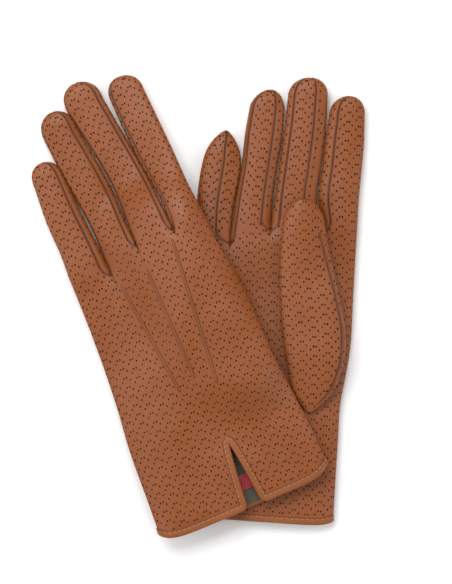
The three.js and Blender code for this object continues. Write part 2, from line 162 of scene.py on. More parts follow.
def thumb_at(glove, up):
    xs = curve([(p[0], p[1]) for p in THUMB_SPINE], up)
    halves = curve([(p[0], p[2]) for p in THUMB_SPINE[:-1]], up)
    tip_y, neck = THUMB_SPINE[-1][0], THUMB_SPINE[-2][0] - 1
    round_off = np.sqrt(np.clip(1 - (np.clip(up - neck, 0, None) / (tip_y - neck)) ** 2, 0, 1))
    return glove["thumb"][0] + xs, np.maximum(halves, 0.4) * round_off


def lift(glove, x, y):
    """How far the upper glove stands above the table, over the lower glove and its own thumb."""
    if glove is RIGHT:
        return np.zeros_like(x)
    ax, ay = turned(x, y, LEFT["turn"])
    here, there = hem_centre(LEFT), hem_centre(RIGHT)
    bx, by = turned(ax + here[0] - there[0], ay + here[1] - there[1], -RIGHT["turn"])
    inside = bx - hand_edges(RIGHT, np.clip(by, 0, 150))[0]
    over = smooth(inside, -BRIDGE, 0) * (2 * HAND_HIGH + STACK_CLEAR)
    low, high = 22.6, 97.2
    a = np.array([thumb_at(LEFT, low)[0], LEFT["thumb"][1] + low])
    b = np.array([thumb_at(LEFT, high)[0], LEFT["thumb"][1] + high])
    t = np.clip(((x - a[0]) * (b[0] - a[0]) + (y - a[1]) * (b[1] - a[1])) / ((b - a) @ (b - a)), 0, 1)
    away = np.hypot(x - a[0] - t * (b[0] - a[0]), y - a[1] - t * (b[1] - a[1]))
    return over + (2 * THUMB_HIGH + 2 * THUMB_CLEAR) * (1 - smooth(away, 12, 38))


def to_row(glove, points):
    """Points of a glove's own frame, in millimetres, in the row frame, in metres."""
    x, y, z = np.asarray(points, float).T
    rx, ry = turned(x, y, glove["turn"])
    ox, oy = hem_centre(glove)
    height = HAND_HIGH + lift(glove, x, y) - glove["palm"] * z
    return np.stack([rx + ox, ry + oy, height], 1) * MM


def oval(theta, half, high, n=ROUNDNESS):
    c, s = np.cos(theta), np.sin(theta)
    return half * np.sign(c) * np.abs(c) ** (2 / n), high * np.sign(s) * np.abs(s) ** (2 / n)


def round_columns(start, end, half, high, seams, step):
    """Angles round an oval at an even spacing, closer together beside each seam."""
    dense = np.linspace(start, end, 721)
    x, z = oval(dense, half, high)
    run = np.concatenate([[0], np.cumsum(np.hypot(np.diff(x), np.diff(z)))])
    marks = np.linspace(0, run[-1], max(4, int(round(run[-1] / step)) + 1))
    for seam in seams:
        at = np.interp(seam, dense, run)
        marks = marks[np.abs(marks - at) > 1.3]
        marks = np.concatenate([marks, at + np.array([-0.9, -0.4, 0, 0.4, 0.9])])
    marks = np.unique(np.clip(marks, 0, run[-1]))
    keep = np.concatenate([[True], np.diff(marks) > 0.12])
    marks = marks[keep]
    marks[-1] = run[-1]
    return np.interp(marks, run, dense)


class Skin:
    """Patches of a glove's surface, welded where they meet."""

    def __init__(self):
        self.points, self.seam, self.plain, self.quads, self.uvs, self.region = [], [], [], [], [], []
        self.roots = {}
        self.count = 0

    def add(self, points, seam, plain, uv, region, flip=False):
        """A grid of rows and columns. Where faces on the two sides of a column have their own pattern
        piece, uv has an extra axis: each column of faces, and its two sides."""
        rows, cols = points.shape[:2]
        index = np.arange(rows * cols).reshape(rows, cols) + self.count
        quads = np.stack([index[:-1, :-1], index[1:, :-1], index[1:, 1:], index[:-1, 1:]], -1).reshape(-1, 4)
        corner = [uv[:-1, :-1], uv[1:, :-1], uv[1:, 1:], uv[:-1, 1:]]
        if uv.ndim == 4:
            corner = [uv[:-1, :, 0], uv[1:, :, 0], uv[1:, :, 1], uv[:-1, :, 1]]
        corners = np.stack(corner, 2).reshape(-1, 4, 2)
        if flip:
            quads, corners = quads[:, ::-1], corners[:, ::-1]
        self.points.append(points.reshape(-1, 3))
        self.seam.append(np.broadcast_to(seam, (rows, cols)).reshape(-1))
        self.plain.append(np.broadcast_to(plain, (rows, cols)).reshape(-1))
        self.quads.append(quads)
        self.uvs.append(corners)
        self.region += [region] * len(quads)
        self.count += rows * cols

    def weld(self):
        points = np.concatenate(self.points)
        _, first, inverse = np.unique(np.round(points, 4), axis=0, return_index=True, return_inverse=True)
        inverse = inverse.reshape(-1)
        for key in ("seam", "plain"):
            lowest = np.full(len(first), FAR)
            np.minimum.at(lowest, inverse, np.concatenate(getattr(self, key)))
            setattr(self, key, lowest)
        self.points, self.quads = points[first], inverse[np.concatenate(self.quads)]
        self.uvs = np.concatenate(self.uvs)
        self.region = np.array(self.region)
        return self

    def normals(self, points):
        total = np.zeros_like(points)
        a, b, c, d = (points[self.quads[:, i]] for i in range(4))
        face = np.cross(c - a, d - b)
        for i in range(4):
            np.add.at(total, self.quads[:, i], face)
        length = np.linalg.norm(total, axis=1, keepdims=True)
        return total / np.maximum(length, 1e-12)


def crotch_height(glove, x):
    outer = [(-60, glove["slits"][0][1] - 1)]
    inner = [(sx, sy) for sx, sy in glove["slits"]]
    points = outer + inner + [(60, glove["slits"][2][1] - 1)]
    xs, ys = zip(*points)
    return np.interp(x, xs, ys)


def finger_parts(glove, i):
    """Root centre, root half width and the finger's given sizes."""
    left = hand_edges(glove, glove["slits"][0][1])[0] if i == 0 else glove["slits"][i - 1][0]
    right = hand_edges(glove, glove["slits"][2][1])[1] if i == 3 else glove["slits"][i][0]
    return (left + right) / 2, (right - left) / 2, glove["fingers"][i]


def seam_angles(finger):
    angles = []
    for side, (back, palm) in finger[5].items():
        angles += [math.radians(back), math.radians(palm) % (2 * math.pi)]
    return angles


def finger_columns(glove, i, step):
    _, half, finger = finger_parts(glove, i)
    angles = seam_angles(finger)
    over = [a for a in angles if a < math.pi]
    under = [a for a in angles if a >= math.pi]
    top = round_columns(0, math.pi, half, FINGER_HIGH, over, step)
    bottom = round_columns(math.pi, 2 * math.pi, half, FINGER_HIGH, under, step)
    return top, bottom


def section_run(theta, half, high):
    """Arc length round an oval from its index side."""
    dense = np.linspace(0, 2 * math.pi, 1441)
    x, z = oval(dense, half, high)
    run = np.concatenate([[0], np.cumsum(np.hypot(np.diff(x), np.diff(z)))])
    return np.interp(theta, dense, run)


def ripple(x, y, wave, seed):
    """A soft uneven swell, about 1 high."""
    total = np.zeros_like(x)
    for k in range(5):
        a = seed * 1.7 + k * 2.4
        scale = 2 * math.pi / (wave * (0.7 + 0.23 * k))
        total += np.sin((x * math.cos(a) + y * math.sin(a)) * scale + seed * 3.1 + k * 1.3)
    return total / 3


def by_vent(x):
    """One beside the vent, and nothing at the glove's sides."""
    return 1 - smooth(np.abs(x - VENT_X), 18, 33)


def vent_shift(x, y, side, trim):
    """The back splits at the vent, and its two flaps part toward the hem."""
    open_by = (VENT_OPEN + trim) * np.clip(1 - y / VENT_LONG, 0, 1) ** 0.7
    return side * open_by * np.exp(-np.abs(x - VENT_X) / 16) * by_vent(x)


def round_corner(x, y, side, radius=3.5):
    """Rounds a flap's corner where the vent meets the hem."""
    from_edge = side * (x - VENT_X)
    p, q = radius - from_edge, radius - y
    both = (p > 0) & (q > 0)
    longest = np.maximum(np.maximum(p, q), 1e-9)
    shrink = np.where(both, longest / np.maximum(np.hypot(p, q), 1e-9), 1.0)
    return x + side * (1 - shrink) * np.clip(p, 0, None), y + (1 - shrink) * np.clip(q, 0, None)


def from_ridges(x, y):
    """Distance to the nearest of the three ridges on the back."""
    nearest = np.full(x.shape, FAR)
    for (x0, y0), (x1, y1) in RIDGES:
        t = np.clip(((x - x0) * (x1 - x0) + (y - y0) * (y1 - y0)) / ((x1 - x0) ** 2 + (y1 - y0) ** 2), 0, 1)
        nearest = np.minimum(nearest, np.hypot(x - x0 - t * (x1 - x0), y - y0 - t * (y1 - y0)))
    return nearest


def hand_sheet(glove, skin, back, step, trim):
    """The back or the palm of the hand, up to the crotches, with a column for each finger column."""
    xs_f, zs_f, slit_cols = [], [], []
    seam_near = []
    for i in (3, 2, 1, 0):
        centre, half, finger = finger_parts(glove, i)
        top, bottom = finger_columns(glove, i, step)
        theta = top if back else bottom[::-1]
        x, z = oval(theta, half, FINGER_HIGH)
        x[0], x[-1] = half, -half
        z[0] = z[-1] = 0.0
        skip = 0 if i == 3 else 1
        xs_f.append((centre + x)[skip:])
        zs_f.append(z[skip:])
    x_f, z_f = np.concatenate(xs_f), np.concatenate(zs_f)
    k = np.linspace(0, 1, len(x_f))
    crotch = crotch_height(glove, x_f)
    below = np.concatenate([np.arange(0, 16, step * 0.72), np.linspace(16, 160, int(144 / (step * 1.12)))])
    share = 1 - below / 160
    share[-1] = 0.0
    y = share[::-1, None] * crotch[None, :]
    drop = crotch[None, :] - y
    across = (k - 0.5) * 2
    rise = np.where(across < 0, glove["hem_rise"][1], glove["hem_rise"][0]) * np.abs(across) ** 9
    y = y + (trim + rise)[None, :] * (1 - smooth(y, 0, 26))
    left, right = hand_edges(glove, y)
    middle, half = (left + right) / 2, (right - left) / 2
    dense = np.linspace(0, math.pi, 361)
    dx, dz = oval(dense, 45.0, HAND_HIGH)
    run = np.concatenate([[0], np.cumsum(np.hypot(np.diff(dx), np.diff(dz)))])
    x_unit = np.interp(k * run[-1], run, dx) / 45.0
    x_hand = middle + half * x_unit[None, :]
    mix_x = 1 - smooth(drop, 0, 42)
    x = x_hand * (1 - mix_x) + x_f[None, :] * mix_x
    rel = np.clip(np.abs((x - middle) / half), 0, 1)
    hem_high = HAND_HIGH * (1 - 0.15 * (1 - smooth(y, 0, 7)))
    z_hand = hem_high * (1 - rel**ROUNDNESS) ** (1 / ROUNDNESS) * (1 if back else -1)
    mix_z = 1 - smooth(drop, 0, 12)
    z = z_hand * (1 - mix_z) + z_f[None, :] * mix_z
    seam = np.full(x.shape, FAR)
    for j, (sx, sy) in enumerate(glove["slits"]):
        side_right, side_left = glove["fingers"][j][5]["right"], glove["fingers"][j + 1][5]["left"]
        reach = []
        for pair, i in ((side_right, j), (side_left, j + 1)):
            _, root_half, _ = finger_parts(glove, i)
            angle = math.radians(pair[0] if back else pair[1])
            reach.append(max(root_half - abs(oval(np.array([angle]), root_half, 1)[0][0]), 0.35))
        depth = 5.5
        width = np.where(x < sx, reach[0], reach[1])
        radial = np.sqrt(((x - sx) / width) ** 2 + (np.clip(sy - y, 0, None) / depth) ** 2)
        near = np.abs(radial - 1) * np.minimum(width, depth) * np.where(radial > 1, 1.6, 1.0)
        seam = np.minimum(seam, np.where(np.abs(x - sx) < 12, near, FAR))
    edge = np.abs(x - left)
    seam = np.minimum(seam, edge + np.abs(z) * 0.6)
    z[:, 0] = z[:, -1] = 0.0
    upper = back == (glove["palm"] < 0)
    bulge = ripple(x, y, 46, 1.0 if back else 2.0) * 0.28 + ripple(x, y, 19, 3.0) * 0.07
    calm = smooth(edge, 2, 12) * smooth(np.abs(right - x), 2, 12) * smooth(y, 2, 16) * smooth(drop, 0, 25)
    z = z + (bulge * calm if upper else -np.abs(bulge) * calm) * (1 if back else -1)
    run_of_x = np.interp(-(x - middle) / half * 45.0, -dx, run) - run[-1] / 2
    u = -run_of_x * half / 45.0 + (0 if back else PALM_ISLAND)
    uv = np.stack([u, y], -1)
    plain = np.minimum(seam, y - y[0] - BINDING)
    if back:
        plain = np.minimum(plain, from_ridges(x, y) - 0.25)
        plain = np.minimum(plain, np.hypot(x - VENT_X, np.clip(y - VENT_LONG, 0, None)) - BINDING)
    points = np.stack([x, y, z], -1)
    starts = np.cumsum([0] + [len(c) for c in xs_f])
    for n, i in enumerate((3, 2, 1, 0)):
        skin.roots[i, back] = points[-1, max(starts[n] - 1, 0):starts[n + 1]].copy()
    if back:
        cut = int(np.argmin(np.abs(x[0] - VENT_X)))
        x[:, cut] += (VENT_X - x[:, cut]) * (1 - smooth(y[:, cut], VENT_LONG, VENT_LONG + 20))
        points[..., 0] = x
        for cols, side in ((slice(0, cut + 1), 1), (slice(cut, None), -1)):
            part = points[:, cols].copy()
            part[..., 0], part[..., 1] = round_corner(part[..., 0], part[..., 1], side)
            part[..., 0] += vent_shift(part[..., 0], part[..., 1], side, trim)
            curl = np.exp(-((part[..., 0] - VENT_X) / 14) ** 2) * np.clip(1 - part[..., 1] / VENT_LONG, 0, 1)
            part[..., 2] += 0.5 * curl * by_vent(part[..., 0])
            skin.add(part, seam[:, cols], plain[:, cols], uv[:, cols], "back")
    else:
        skin.add(points, seam, plain, uv, "palm", flip=True)


def finger_shape(glove, i, y):
    """A finger's centre, half width and half thickness at places up its length."""
    centre, root_half, (_, _, edges, tip, (long, power, blunt), _) = finger_parts(glove, i)
    root_y = float(crotch_height(glove, centre))
    ups, lefts, rights = zip(*edges)
    left = curve([(root_y, centre - root_half)] + list(zip(ups, lefts)), y) + 0.15
    right = curve([(root_y, centre + root_half)] + list(zip(ups, rights)), y) - 0.15
    t = np.clip((y - (tip[1] - long)) / long, 0, 1)
    shrink = (1 - t**power) ** blunt
    middle = (left + right) / 2
    middle = middle + (tip[0] - middle) * t**2
    high = (FINGER_HIGH - 0.6 * smooth(y, root_y, tip[1] - long)) * (1 - t ** (power + 1.2)) ** 0.5
    return middle, (right - left) / 2 * shrink, high


def finger_tube(glove, skin, i, step):
    centre, root_half, finger = finger_parts(glove, i)
    tip, (long, _, _) = finger[3], finger[4]
    root_y = float(crotch_height(glove, centre))
    top, bottom = finger_columns(glove, i, step)
    theta = np.concatenate([top, bottom[1:]])
    neck = tip[1] - long
    rows = np.linspace(root_y, neck, int(round((neck - root_y) / step)) + 1)
    rows = np.concatenate([rows, neck + long * np.sin(np.linspace(0, math.pi / 2, 17)[1:])])
    middle, half_at, high_at = finger_shape(glove, i, rows)
    half_at[-1] = high_at[-1] = 0.0
    x_unit, z_unit = oval(theta, 1.0, 1.0)
    x_unit[0] = x_unit[-1] = 1.0
    x_unit[len(top) - 1] = -1.0
    z_unit[[0, len(top) - 1, -1]] = 0.0
    x = middle[:, None] + half_at[:, None] * x_unit[None, :]
    z = high_at[:, None] * z_unit[None, :]
    x_root = centre + root_half * x_unit
    fade = 1 - smooth(rows, root_y, root_y + 16)[:, None]
    fade[0] = 1.0
    x = x + (x_root - x[0])[None, :] * fade
    y = rows[:, None] + (crotch_height(glove, x_root) - root_y)[None, :] * fade
    half = half_at[len(rows) // 2]
    run = section_run(theta, half, FINGER_HIGH)
    seam = np.full(theta.shape, FAR)
    for angle in seam_angles(finger):
        seam = np.minimum(seam, np.abs(run - section_run(angle, half, FINGER_HIGH)))
    if i == 0:
        seam = np.minimum(seam, np.abs(run - section_run(math.pi, half, FINGER_HIGH)))
    points = np.stack([x, y, z], -1)
    points[0] = np.concatenate([skin.roots[i, True], skin.roots[i, False][::-1][1:]])
    quarter, three = (section_run(angle * math.pi, half, FINGER_HIGH) for angle in (0.5, 1.5))
    shift = (i + 1) * FINGER_ISLAND
    mid = (theta[:-1] + theta[1:]) / 2
    fork = np.zeros(len(mid), int)
    fork_side = dict(enumerate(finger[5], 1))
    for number, (side, (back_angle, palm_angle)) in enumerate(finger[5].items(), 1):
        a, b = math.radians(back_angle), math.radians(palm_angle) % (2 * math.pi)
        if side == "right":
            fork[(mid < a) | (mid > b)] = number
        else:
            fork[(mid > a) & (mid < b)] = number
    uv = np.zeros((len(rows), len(mid), 2, 2))
    for c in range(len(mid)):
        for e, column in enumerate((c, c + 1)):
            if fork[c]:
                past_round = run[-1] if fork_side[fork[c]] == "right" and mid[c] > math.pi else 0.0
                u = FORK_ISLAND + 4 * COLUMN * (2 * i + fork[c]) + run[column] - past_round
            elif mid[c] < math.pi:
                u = centre + shift - (run[column] - quarter)
            else:
                u = centre + shift + PALM_ISLAND + (run[column] - three)
            uv[:, c, e, 0] = u
            uv[:, c, e, 1] = y[:, column]
    skin.add(points, seam[None, :], seam[None, :], uv, finger[0])


def make_skin(glove, step, trim=0.0):
    skin = Skin()
    hand_sheet(glove, skin, True, step, trim)
    hand_sheet(glove, skin, False, step, trim)
    for i in range(4):
        finger_tube(glove, skin, i, step)
    return skin.weld()


def sewn(points, normals, seam):
    """Sinks each seam and raises the leather beside it."""
    depth = -0.5 * np.exp(-((seam / 0.5) ** 2)) + 0.16 * np.exp(-(((seam - 1.25) / 0.7) ** 2))
    return points + normals * depth[:, None]


def to_mesh(name, points, quads, uvs=None, values=None, face_values=None, materials=(), slots=None):
    """A mesh from four-cornered faces. A face whose second and third corners are one becomes a triangle."""
    quads = np.asarray(quads)
    keep = np.ones(quads.shape, bool)
    keep[:, 2] = quads[:, 1] != quads[:, 2]
    sizes = keep.sum(1)
    mesh = bpy.data.meshes.new(name)
    mesh.vertices.add(len(points))
    mesh.vertices.foreach_set("co", np.asarray(points, np.float32).reshape(-1))
    mesh.loops.add(int(sizes.sum()))
    mesh.loops.foreach_set("vertex_index", quads[keep].astype(np.int32))
    mesh.polygons.add(len(quads))
    mesh.polygons.foreach_set("loop_start", np.concatenate([[0], np.cumsum(sizes)[:-1]]).astype(np.int32))
    mesh.update(calc_edges=True)
    if uvs is not None:
        layer = mesh.uv_layers.new(name="pattern")
        layer.data.foreach_set("uv", (np.asarray(uvs)[keep] * MM).astype(np.float32).reshape(-1))
    for key, data in (values or {}).items():
        mesh.attributes.new(key, "FLOAT", "POINT").data.foreach_set("value", np.asarray(data, np.float32))
    for key, data in (face_values or {}).items():
        mesh.attributes.new(key, "INT", "FACE").data.foreach_set("value", np.asarray(data, np.int32))
    for material in materials:
        mesh.materials.append(material)
    if slots is not None:
        mesh.polygons.foreach_set("material_index", np.asarray(slots, np.int32))
    mesh.polygons.foreach_set("use_smooth", np.ones(len(quads), bool))
    mesh.update()
    return mesh


def to_piece(name, mesh):
    piece = bpy.data.objects.new(name, mesh)
    bpy.context.scene.collection.objects.link(piece)
    return piece


def rim_edges(quads):
    """The open edges of a sheet, each in the direction of its face."""
    edges = np.concatenate([quads[:, [i, (i + 1) % 4]] for i in range(4)])
    faces = np.tile(np.arange(len(quads)), 4)
    corners = np.repeat(np.arange(4), len(quads))
    real = edges[:, 0] != edges[:, 1]
    edges, faces, corners = edges[real], faces[real], corners[real]
    forward = edges[:, 0].astype(np.int64) * 10**7 + edges[:, 1]
    backward = edges[:, 1].astype(np.int64) * 10**7 + edges[:, 0]
    open_ones = ~np.isin(forward, backward)
    return edges[open_ones], faces[open_ones], corners[open_ones]


def walled(skin, outer, inner):
    """A closed shell from a skin's outer and inner points: faces, their pattern places and regions."""
    count = len(outer)
    edges, faces, corners = rim_edges(skin.quads)
    uv_a, uv_b = skin.uvs[faces, corners], skin.uvs[faces, (corners + 1) % 4]
    rim = np.stack([edges[:, 1], edges[:, 0], edges[:, 0] + count, edges[:, 1] + count], 1)
    inside = skin.quads[:, [3, 2, 1, 0]] + count
    quads = np.concatenate([skin.quads, inside, rim])
    aside = np.array([0, 400.0])
    rim_uvs = np.stack([uv_b, uv_a, uv_a, uv_b], 1)
    uvs = np.concatenate([skin.uvs, skin.uvs[:, [3, 2, 1, 0]] + aside, rim_uvs + aside])
    region = np.concatenate([skin.region, skin.region, skin.region[faces]])
    return np.concatenate([outer, inner]), quads, uvs, region


REGIONS = ["back", "palm", "little", "ring", "middle", "index"]


# ---------------------------------------------------------------- node helpers


class Nodes:
    """Adds nodes to a tree and links them by name."""

    def __init__(self, tree):
        self.tree = tree

    def add(self, kind, inputs=None, **settings):
        node = self.tree.nodes.new(kind)
        for key, value in settings.items():
            setattr(node, key, value)
        for key, value in (inputs or {}).items():
            socket = node.inputs[key]
            if isinstance(value, bpy.types.NodeSocket):
                self.tree.links.new(value, socket)
            else:
                socket.default_value = value
        return node

    def math(self, operation, *values, clamp=False):
        node = self.add("ShaderNodeMath", operation=operation, use_clamp=clamp)
        for i, value in enumerate(values):
            if isinstance(value, bpy.types.NodeSocket):
                self.tree.links.new(value, node.inputs[i])
            else:
                node.inputs[i].default_value = value
        return node.outputs[0]

    def ramp(self, value, low, high, to_low=0.0, to_high=1.0):
        node = self.add("ShaderNodeMapRange", {"Value": value, "From Min": low, "From Max": high,
                                               "To Min": to_low, "To Max": to_high})
        return node.outputs["Result"]

    def mix(self, share, a, b, blend="MIX"):
        node = self.add("ShaderNodeMix", data_type="RGBA", blend_type=blend)
        for socket, value in ((node.inputs[0], share), (node.inputs[6], a), (node.inputs[7], b)):
            if isinstance(value, bpy.types.NodeSocket):
                self.tree.links.new(value, socket)
            else:
                socket.default_value = value
        return node.outputs[2]


def group(name, inputs, outputs):
    tree = bpy.data.node_groups.new(name, "ShaderNodeTree")
    for socket, kind, value in inputs:
        made = tree.interface.new_socket(socket, in_out="INPUT", socket_type=kind)
        made.default_value = value
    for socket, kind in outputs:
        tree.interface.new_socket(socket, in_out="OUTPUT", socket_type=kind)
    return tree, Nodes(tree), tree.nodes.new("NodeGroupInput"), tree.nodes.new("NodeGroupOutput")


def linear(r, g, b):
    """A colour as seen on screen, 0 to 255, as the renderer wants it."""
    parts = [c / 255 for c in (r, g, b)]
    return tuple(c / 12.92 if c < 0.04045 else ((c + 0.055) / 1.055) ** 2.4 for c in parts) + (1.0,)


def make_leather_group():
    """Soft nappa: a pebbled grain, drifting tone, painted shade darkening the sunken seams, and faint painted
    highlight and shade on the rises and hollows of the fold bumps.
    """
    tree, n, inside, outside = group(
        "nappa leather",
        [("Tone", "NodeSocketColor", (0.3, 0.1, 0.04, 1)), ("Grain", "NodeSocketFloat", 1.0)],
        [("Base Color", "NodeSocketColor"), ("Roughness", "NodeSocketFloat"), ("Height", "NodeSocketFloat")],
    )
    place = n.add("ShaderNodeTexCoord").outputs["Object"]
    warp = n.add("ShaderNodeTexNoise", {"Vector": place, "Scale": 260.0, "Detail": 2.0}).outputs["Color"]
    bent = n.add("ShaderNodeMix", data_type="VECTOR")
    bent.inputs[0].default_value = 0.0016
    n.tree.links.new(place, bent.inputs[4])
    n.tree.links.new(warp, bent.inputs[5])
    pebbles = n.add("ShaderNodeTexVoronoi", {"Vector": bent.outputs[1], "Scale": 950.0},
                    feature="DISTANCE_TO_EDGE").outputs["Distance"]
    pebble = n.ramp(pebbles, 0.0, 0.22)
    pores = n.add("ShaderNodeTexVoronoi", {"Vector": place, "Scale": 520.0}).outputs["Distance"]
    pore = n.ramp(pores, 0.0, 0.16)
    fine = n.add("ShaderNodeTexNoise", {"Vector": place, "Scale": 1500.0, "Detail": 3.0}).outputs["Fac"]
    folds = n.add("ShaderNodeTexNoise", {"Vector": place, "Scale": 70.0, "Detail": 4.0,
                                         "Roughness": 0.55, "Distortion": 0.6}).outputs["Fac"]
    tone = n.add("ShaderNodeTexNoise", {"Vector": place, "Scale": 24.0, "Detail": 3.0}).outputs["Fac"]
    seam = n.add("ShaderNodeAttribute", attribute_name="seam").outputs["Fac"]
    # Painted shade: the seam value darkens the leather along each sunken seam, down the sides of the raised points and
    # where the binding tucks against the leather.
    seam_shade = n.ramp(seam, 0.1, 1.1, 1.0, 0.0)
    wide = n.ramp(seam, 0.3, 4.0, 1.0, 0.0)
    drift = n.ramp(tone, 0.3, 0.7, 0.93, 1.09)
    grain = n.math("MULTIPLY", n.ramp(pebble, 0.0, 1.0, 0.94, 1.02), n.ramp(pore, 0.0, 1.0, 0.9, 1.0))
    value = n.math("MULTIPLY", drift, grain)
    value = n.math("MULTIPLY", value, n.ramp(seam_shade, 0.0, 1.0, 1.0, 0.42))
    # A wider, fainter band of the same painted shade round each seam.
    value = n.math("MULTIPLY", value, n.ramp(wide, 0.0, 1.0, 1.0, 0.93))
    # Painted highlight and shade: paler on the rises of the fold bumps, darker in their hollows.
    value = n.math("MULTIPLY", value, n.ramp(folds, 0.3, 0.7, 0.97, 1.03))
    colour = n.add("ShaderNodeHueSaturation", {"Color": inside.outputs["Tone"], "Value": value,
                                               "Saturation": n.ramp(drift, 0.93, 1.09, 1.03, 0.96)})
    n.tree.links.new(colour.outputs[0], outside.inputs["Base Color"])
    rough = n.math("ADD", n.ramp(folds, 0.3, 0.7, 0.43, 0.5), n.ramp(fine, 0.3, 0.7, -0.03, 0.03))
    n.tree.links.new(n.math("ADD", rough, n.ramp(seam_shade, 0.0, 1.0, 0.0, 0.12)), outside.inputs["Roughness"])
    height = n.math("MULTIPLY", pebble, 0.00003)
    height = n.math("ADD", height, n.math("MULTIPLY", pore, 0.00003))
    height = n.math("ADD", height, n.math("MULTIPLY", fine, 0.000015))
    height = n.math("MULTIPLY", height, inside.outputs["Grain"])
    height = n.math("ADD", height, n.math("MULTIPLY", folds, 0.00032))
    n.tree.links.new(height, outside.inputs["Height"])
    return tree


def make_material(name, build):
    material = bpy.data.materials.new(name)
    material.use_nodes = True
    tree = material.node_tree
    tree.nodes.clear()
    n = Nodes(tree)
    shader = n.add("ShaderNodeBsdfPrincipled")
    out = n.add("ShaderNodeOutputMaterial")
    tree.links.new(shader.outputs[0], out.inputs["Surface"])
    build(n, shader)
    return material


def leather(name, tone, grain=1.0, sheen=0.12):
    def build(n, shader):
        part = n.add("ShaderNodeGroup", node_tree=NAPPA)
        part.inputs["Tone"].default_value = linear(*tone)
        part.inputs["Grain"].default_value = grain
        n.tree.links.new(part.outputs["Base Color"], shader.inputs["Base Color"])
        n.tree.links.new(part.outputs["Roughness"], shader.inputs["Roughness"])
        bump = n.add("ShaderNodeBump", {"Height": part.outputs["Height"], "Strength": 1.0, "Distance": 1.0})
        n.tree.links.new(bump.outputs[0], shader.inputs["Normal"])
        shader.inputs["Specular IOR Level"].default_value = 0.42
        shader.inputs["Sheen Weight"].default_value = sheen
        shader.inputs["Sheen Roughness"].default_value = 0.4
        shader.inputs["Sheen Tint"].default_value = (1.0, 0.8, 0.68, 1)
    return make_material(name, build)


def make_knit(n, shader):
    """Fine jersey: rows of interlocked loops that follow the cloth's own pattern."""
    uv = n.add("ShaderNodeUVMap", uv_map="pattern").outputs[0]
    apart = n.add("ShaderNodeSeparateXYZ", {"Vector": uv})
    across = n.math("MULTIPLY", apart.outputs["X"], 1000 / 0.9)
    along = n.math("MULTIPLY", apart.outputs["Y"], 1000 / 0.75)
    wale = n.math("ABSOLUTE", n.math("SUBTRACT", n.math("FRACT", across), 0.5))
    course = n.math("FRACT", n.math("ADD", along, n.math("MULTIPLY", wale, 1.1)))
    loop = n.math("SINE", n.math("MULTIPLY", course, math.pi))
    body = n.math("MULTIPLY", loop, n.ramp(wale, 0.0, 0.5, 0.55, 1.0))
    place = n.add("ShaderNodeTexCoord").outputs["Object"]
    fuzz = n.add("ShaderNodeTexNoise", {"Vector": place, "Scale": 1800.0, "Detail": 3.0}).outputs["Fac"]
    drift = n.add("ShaderNodeTexNoise", {"Vector": place, "Scale": 60.0, "Detail": 2.0}).outputs["Fac"]
    value = n.math("MULTIPLY", n.ramp(body, 0.0, 1.0, 0.5, 1.15), n.ramp(drift, 0.3, 0.7, 0.88, 1.1))
    value = n.math("MULTIPLY", value, n.ramp(fuzz, 0.3, 0.7, 0.85, 1.12))
    colour = n.add("ShaderNodeHueSaturation", {"Color": linear(92, 86, 72), "Value": value})
    n.tree.links.new(colour.outputs[0], shader.inputs["Base Color"])
    shader.inputs["Roughness"].default_value = 0.9
    shader.inputs["Sheen Weight"].default_value = 0.25
    height = n.math("ADD", n.math("MULTIPLY", body, 0.00012), n.math("MULTIPLY", fuzz, 0.00003))
    bump = n.add("ShaderNodeBump", {"Height": height, "Strength": 1.0, "Distance": 1.0})
    n.tree.links.new(bump.outputs[0], shader.inputs["Normal"])


def make_satin(n, shader):
    """Woven satin: long floats across."""
    place = n.add("ShaderNodeTexCoord").outputs["Object"]
    weave = n.add("ShaderNodeTexWave", {"Vector": place, "Scale": 700.0, "Distortion": 0.8, "Detail": 1.0},
                  bands_direction="Y").outputs["Fac"]
    floats = n.add("ShaderNodeTexWave", {"Vector": place, "Scale": 320.0, "Distortion": 0.5}).outputs["Fac"]
    value = n.math("MULTIPLY", n.ramp(weave, 0.0, 1.0, 0.8, 1.1), n.ramp(floats, 0.0, 1.0, 0.9, 1.08))
    colour = n.add("ShaderNodeHueSaturation", {"Color": linear(172, 22, 28), "Value": value})
    n.tree.links.new(colour.outputs[0], shader.inputs["Base Color"])
    n.tree.links.new(n.ramp(weave, 0.0, 1.0, 0.5, 0.38), shader.inputs["Roughness"])
    height = n.math("ADD", n.math("MULTIPLY", weave, 0.00005), n.math("MULTIPLY", floats, 0.00003))
    bump = n.add("ShaderNodeBump", {"Height": height, "Strength": 1.0, "Distance": 1.0})
    n.tree.links.new(bump.outputs[0], shader.inputs["Normal"])


def make_thread(n, shader):
    """Twisted sewing thread."""
    place = n.add("ShaderNodeTexCoord").outputs["Object"]
    twist = n.add("ShaderNodeTexWave", {"Vector": place, "Scale": 900.0, "Distortion": 0.4},
                  bands_direction="DIAGONAL").outputs["Fac"]
    colour = n.mix(n.ramp(twist, 0.0, 1.0, 0.0, 1.0), linear(150, 92, 56), linear(196, 134, 92))
    n.tree.links.new(colour, shader.inputs["Base Color"])
    shader.inputs["Roughness"].default_value = 0.6
    bump = n.add("ShaderNodeBump", {"Height": n.math("MULTIPLY", twist, 0.00006), "Strength": 1.0,
                                    "Distance": 1.0})
    n.tree.links.new(bump.outputs[0], shader.inputs["Normal"])


def make_raw_edge(n, shader):
    """The fibrous cut wall of a perforation."""
    place = n.add("ShaderNodeTexCoord").outputs["Object"]
    fibres = n.add("ShaderNodeTexNoise", {"Vector": place, "Scale": 2500.0, "Detail": 2.0}).outputs["Fac"]
    colour = n.mix(n.ramp(fibres, 0.3, 0.7), linear(84, 34, 14), linear(112, 54, 28))
    n.tree.links.new(colour, shader.inputs["Base Color"])
    shader.inputs["Roughness"].default_value = 0.85
    bump = n.add("ShaderNodeBump", {"Height": n.math("MULTIPLY", fibres, 0.00005), "Strength": 1.0,
                                    "Distance": 1.0})
    n.tree.links.new(bump.outputs[0], shader.inputs["Normal"])


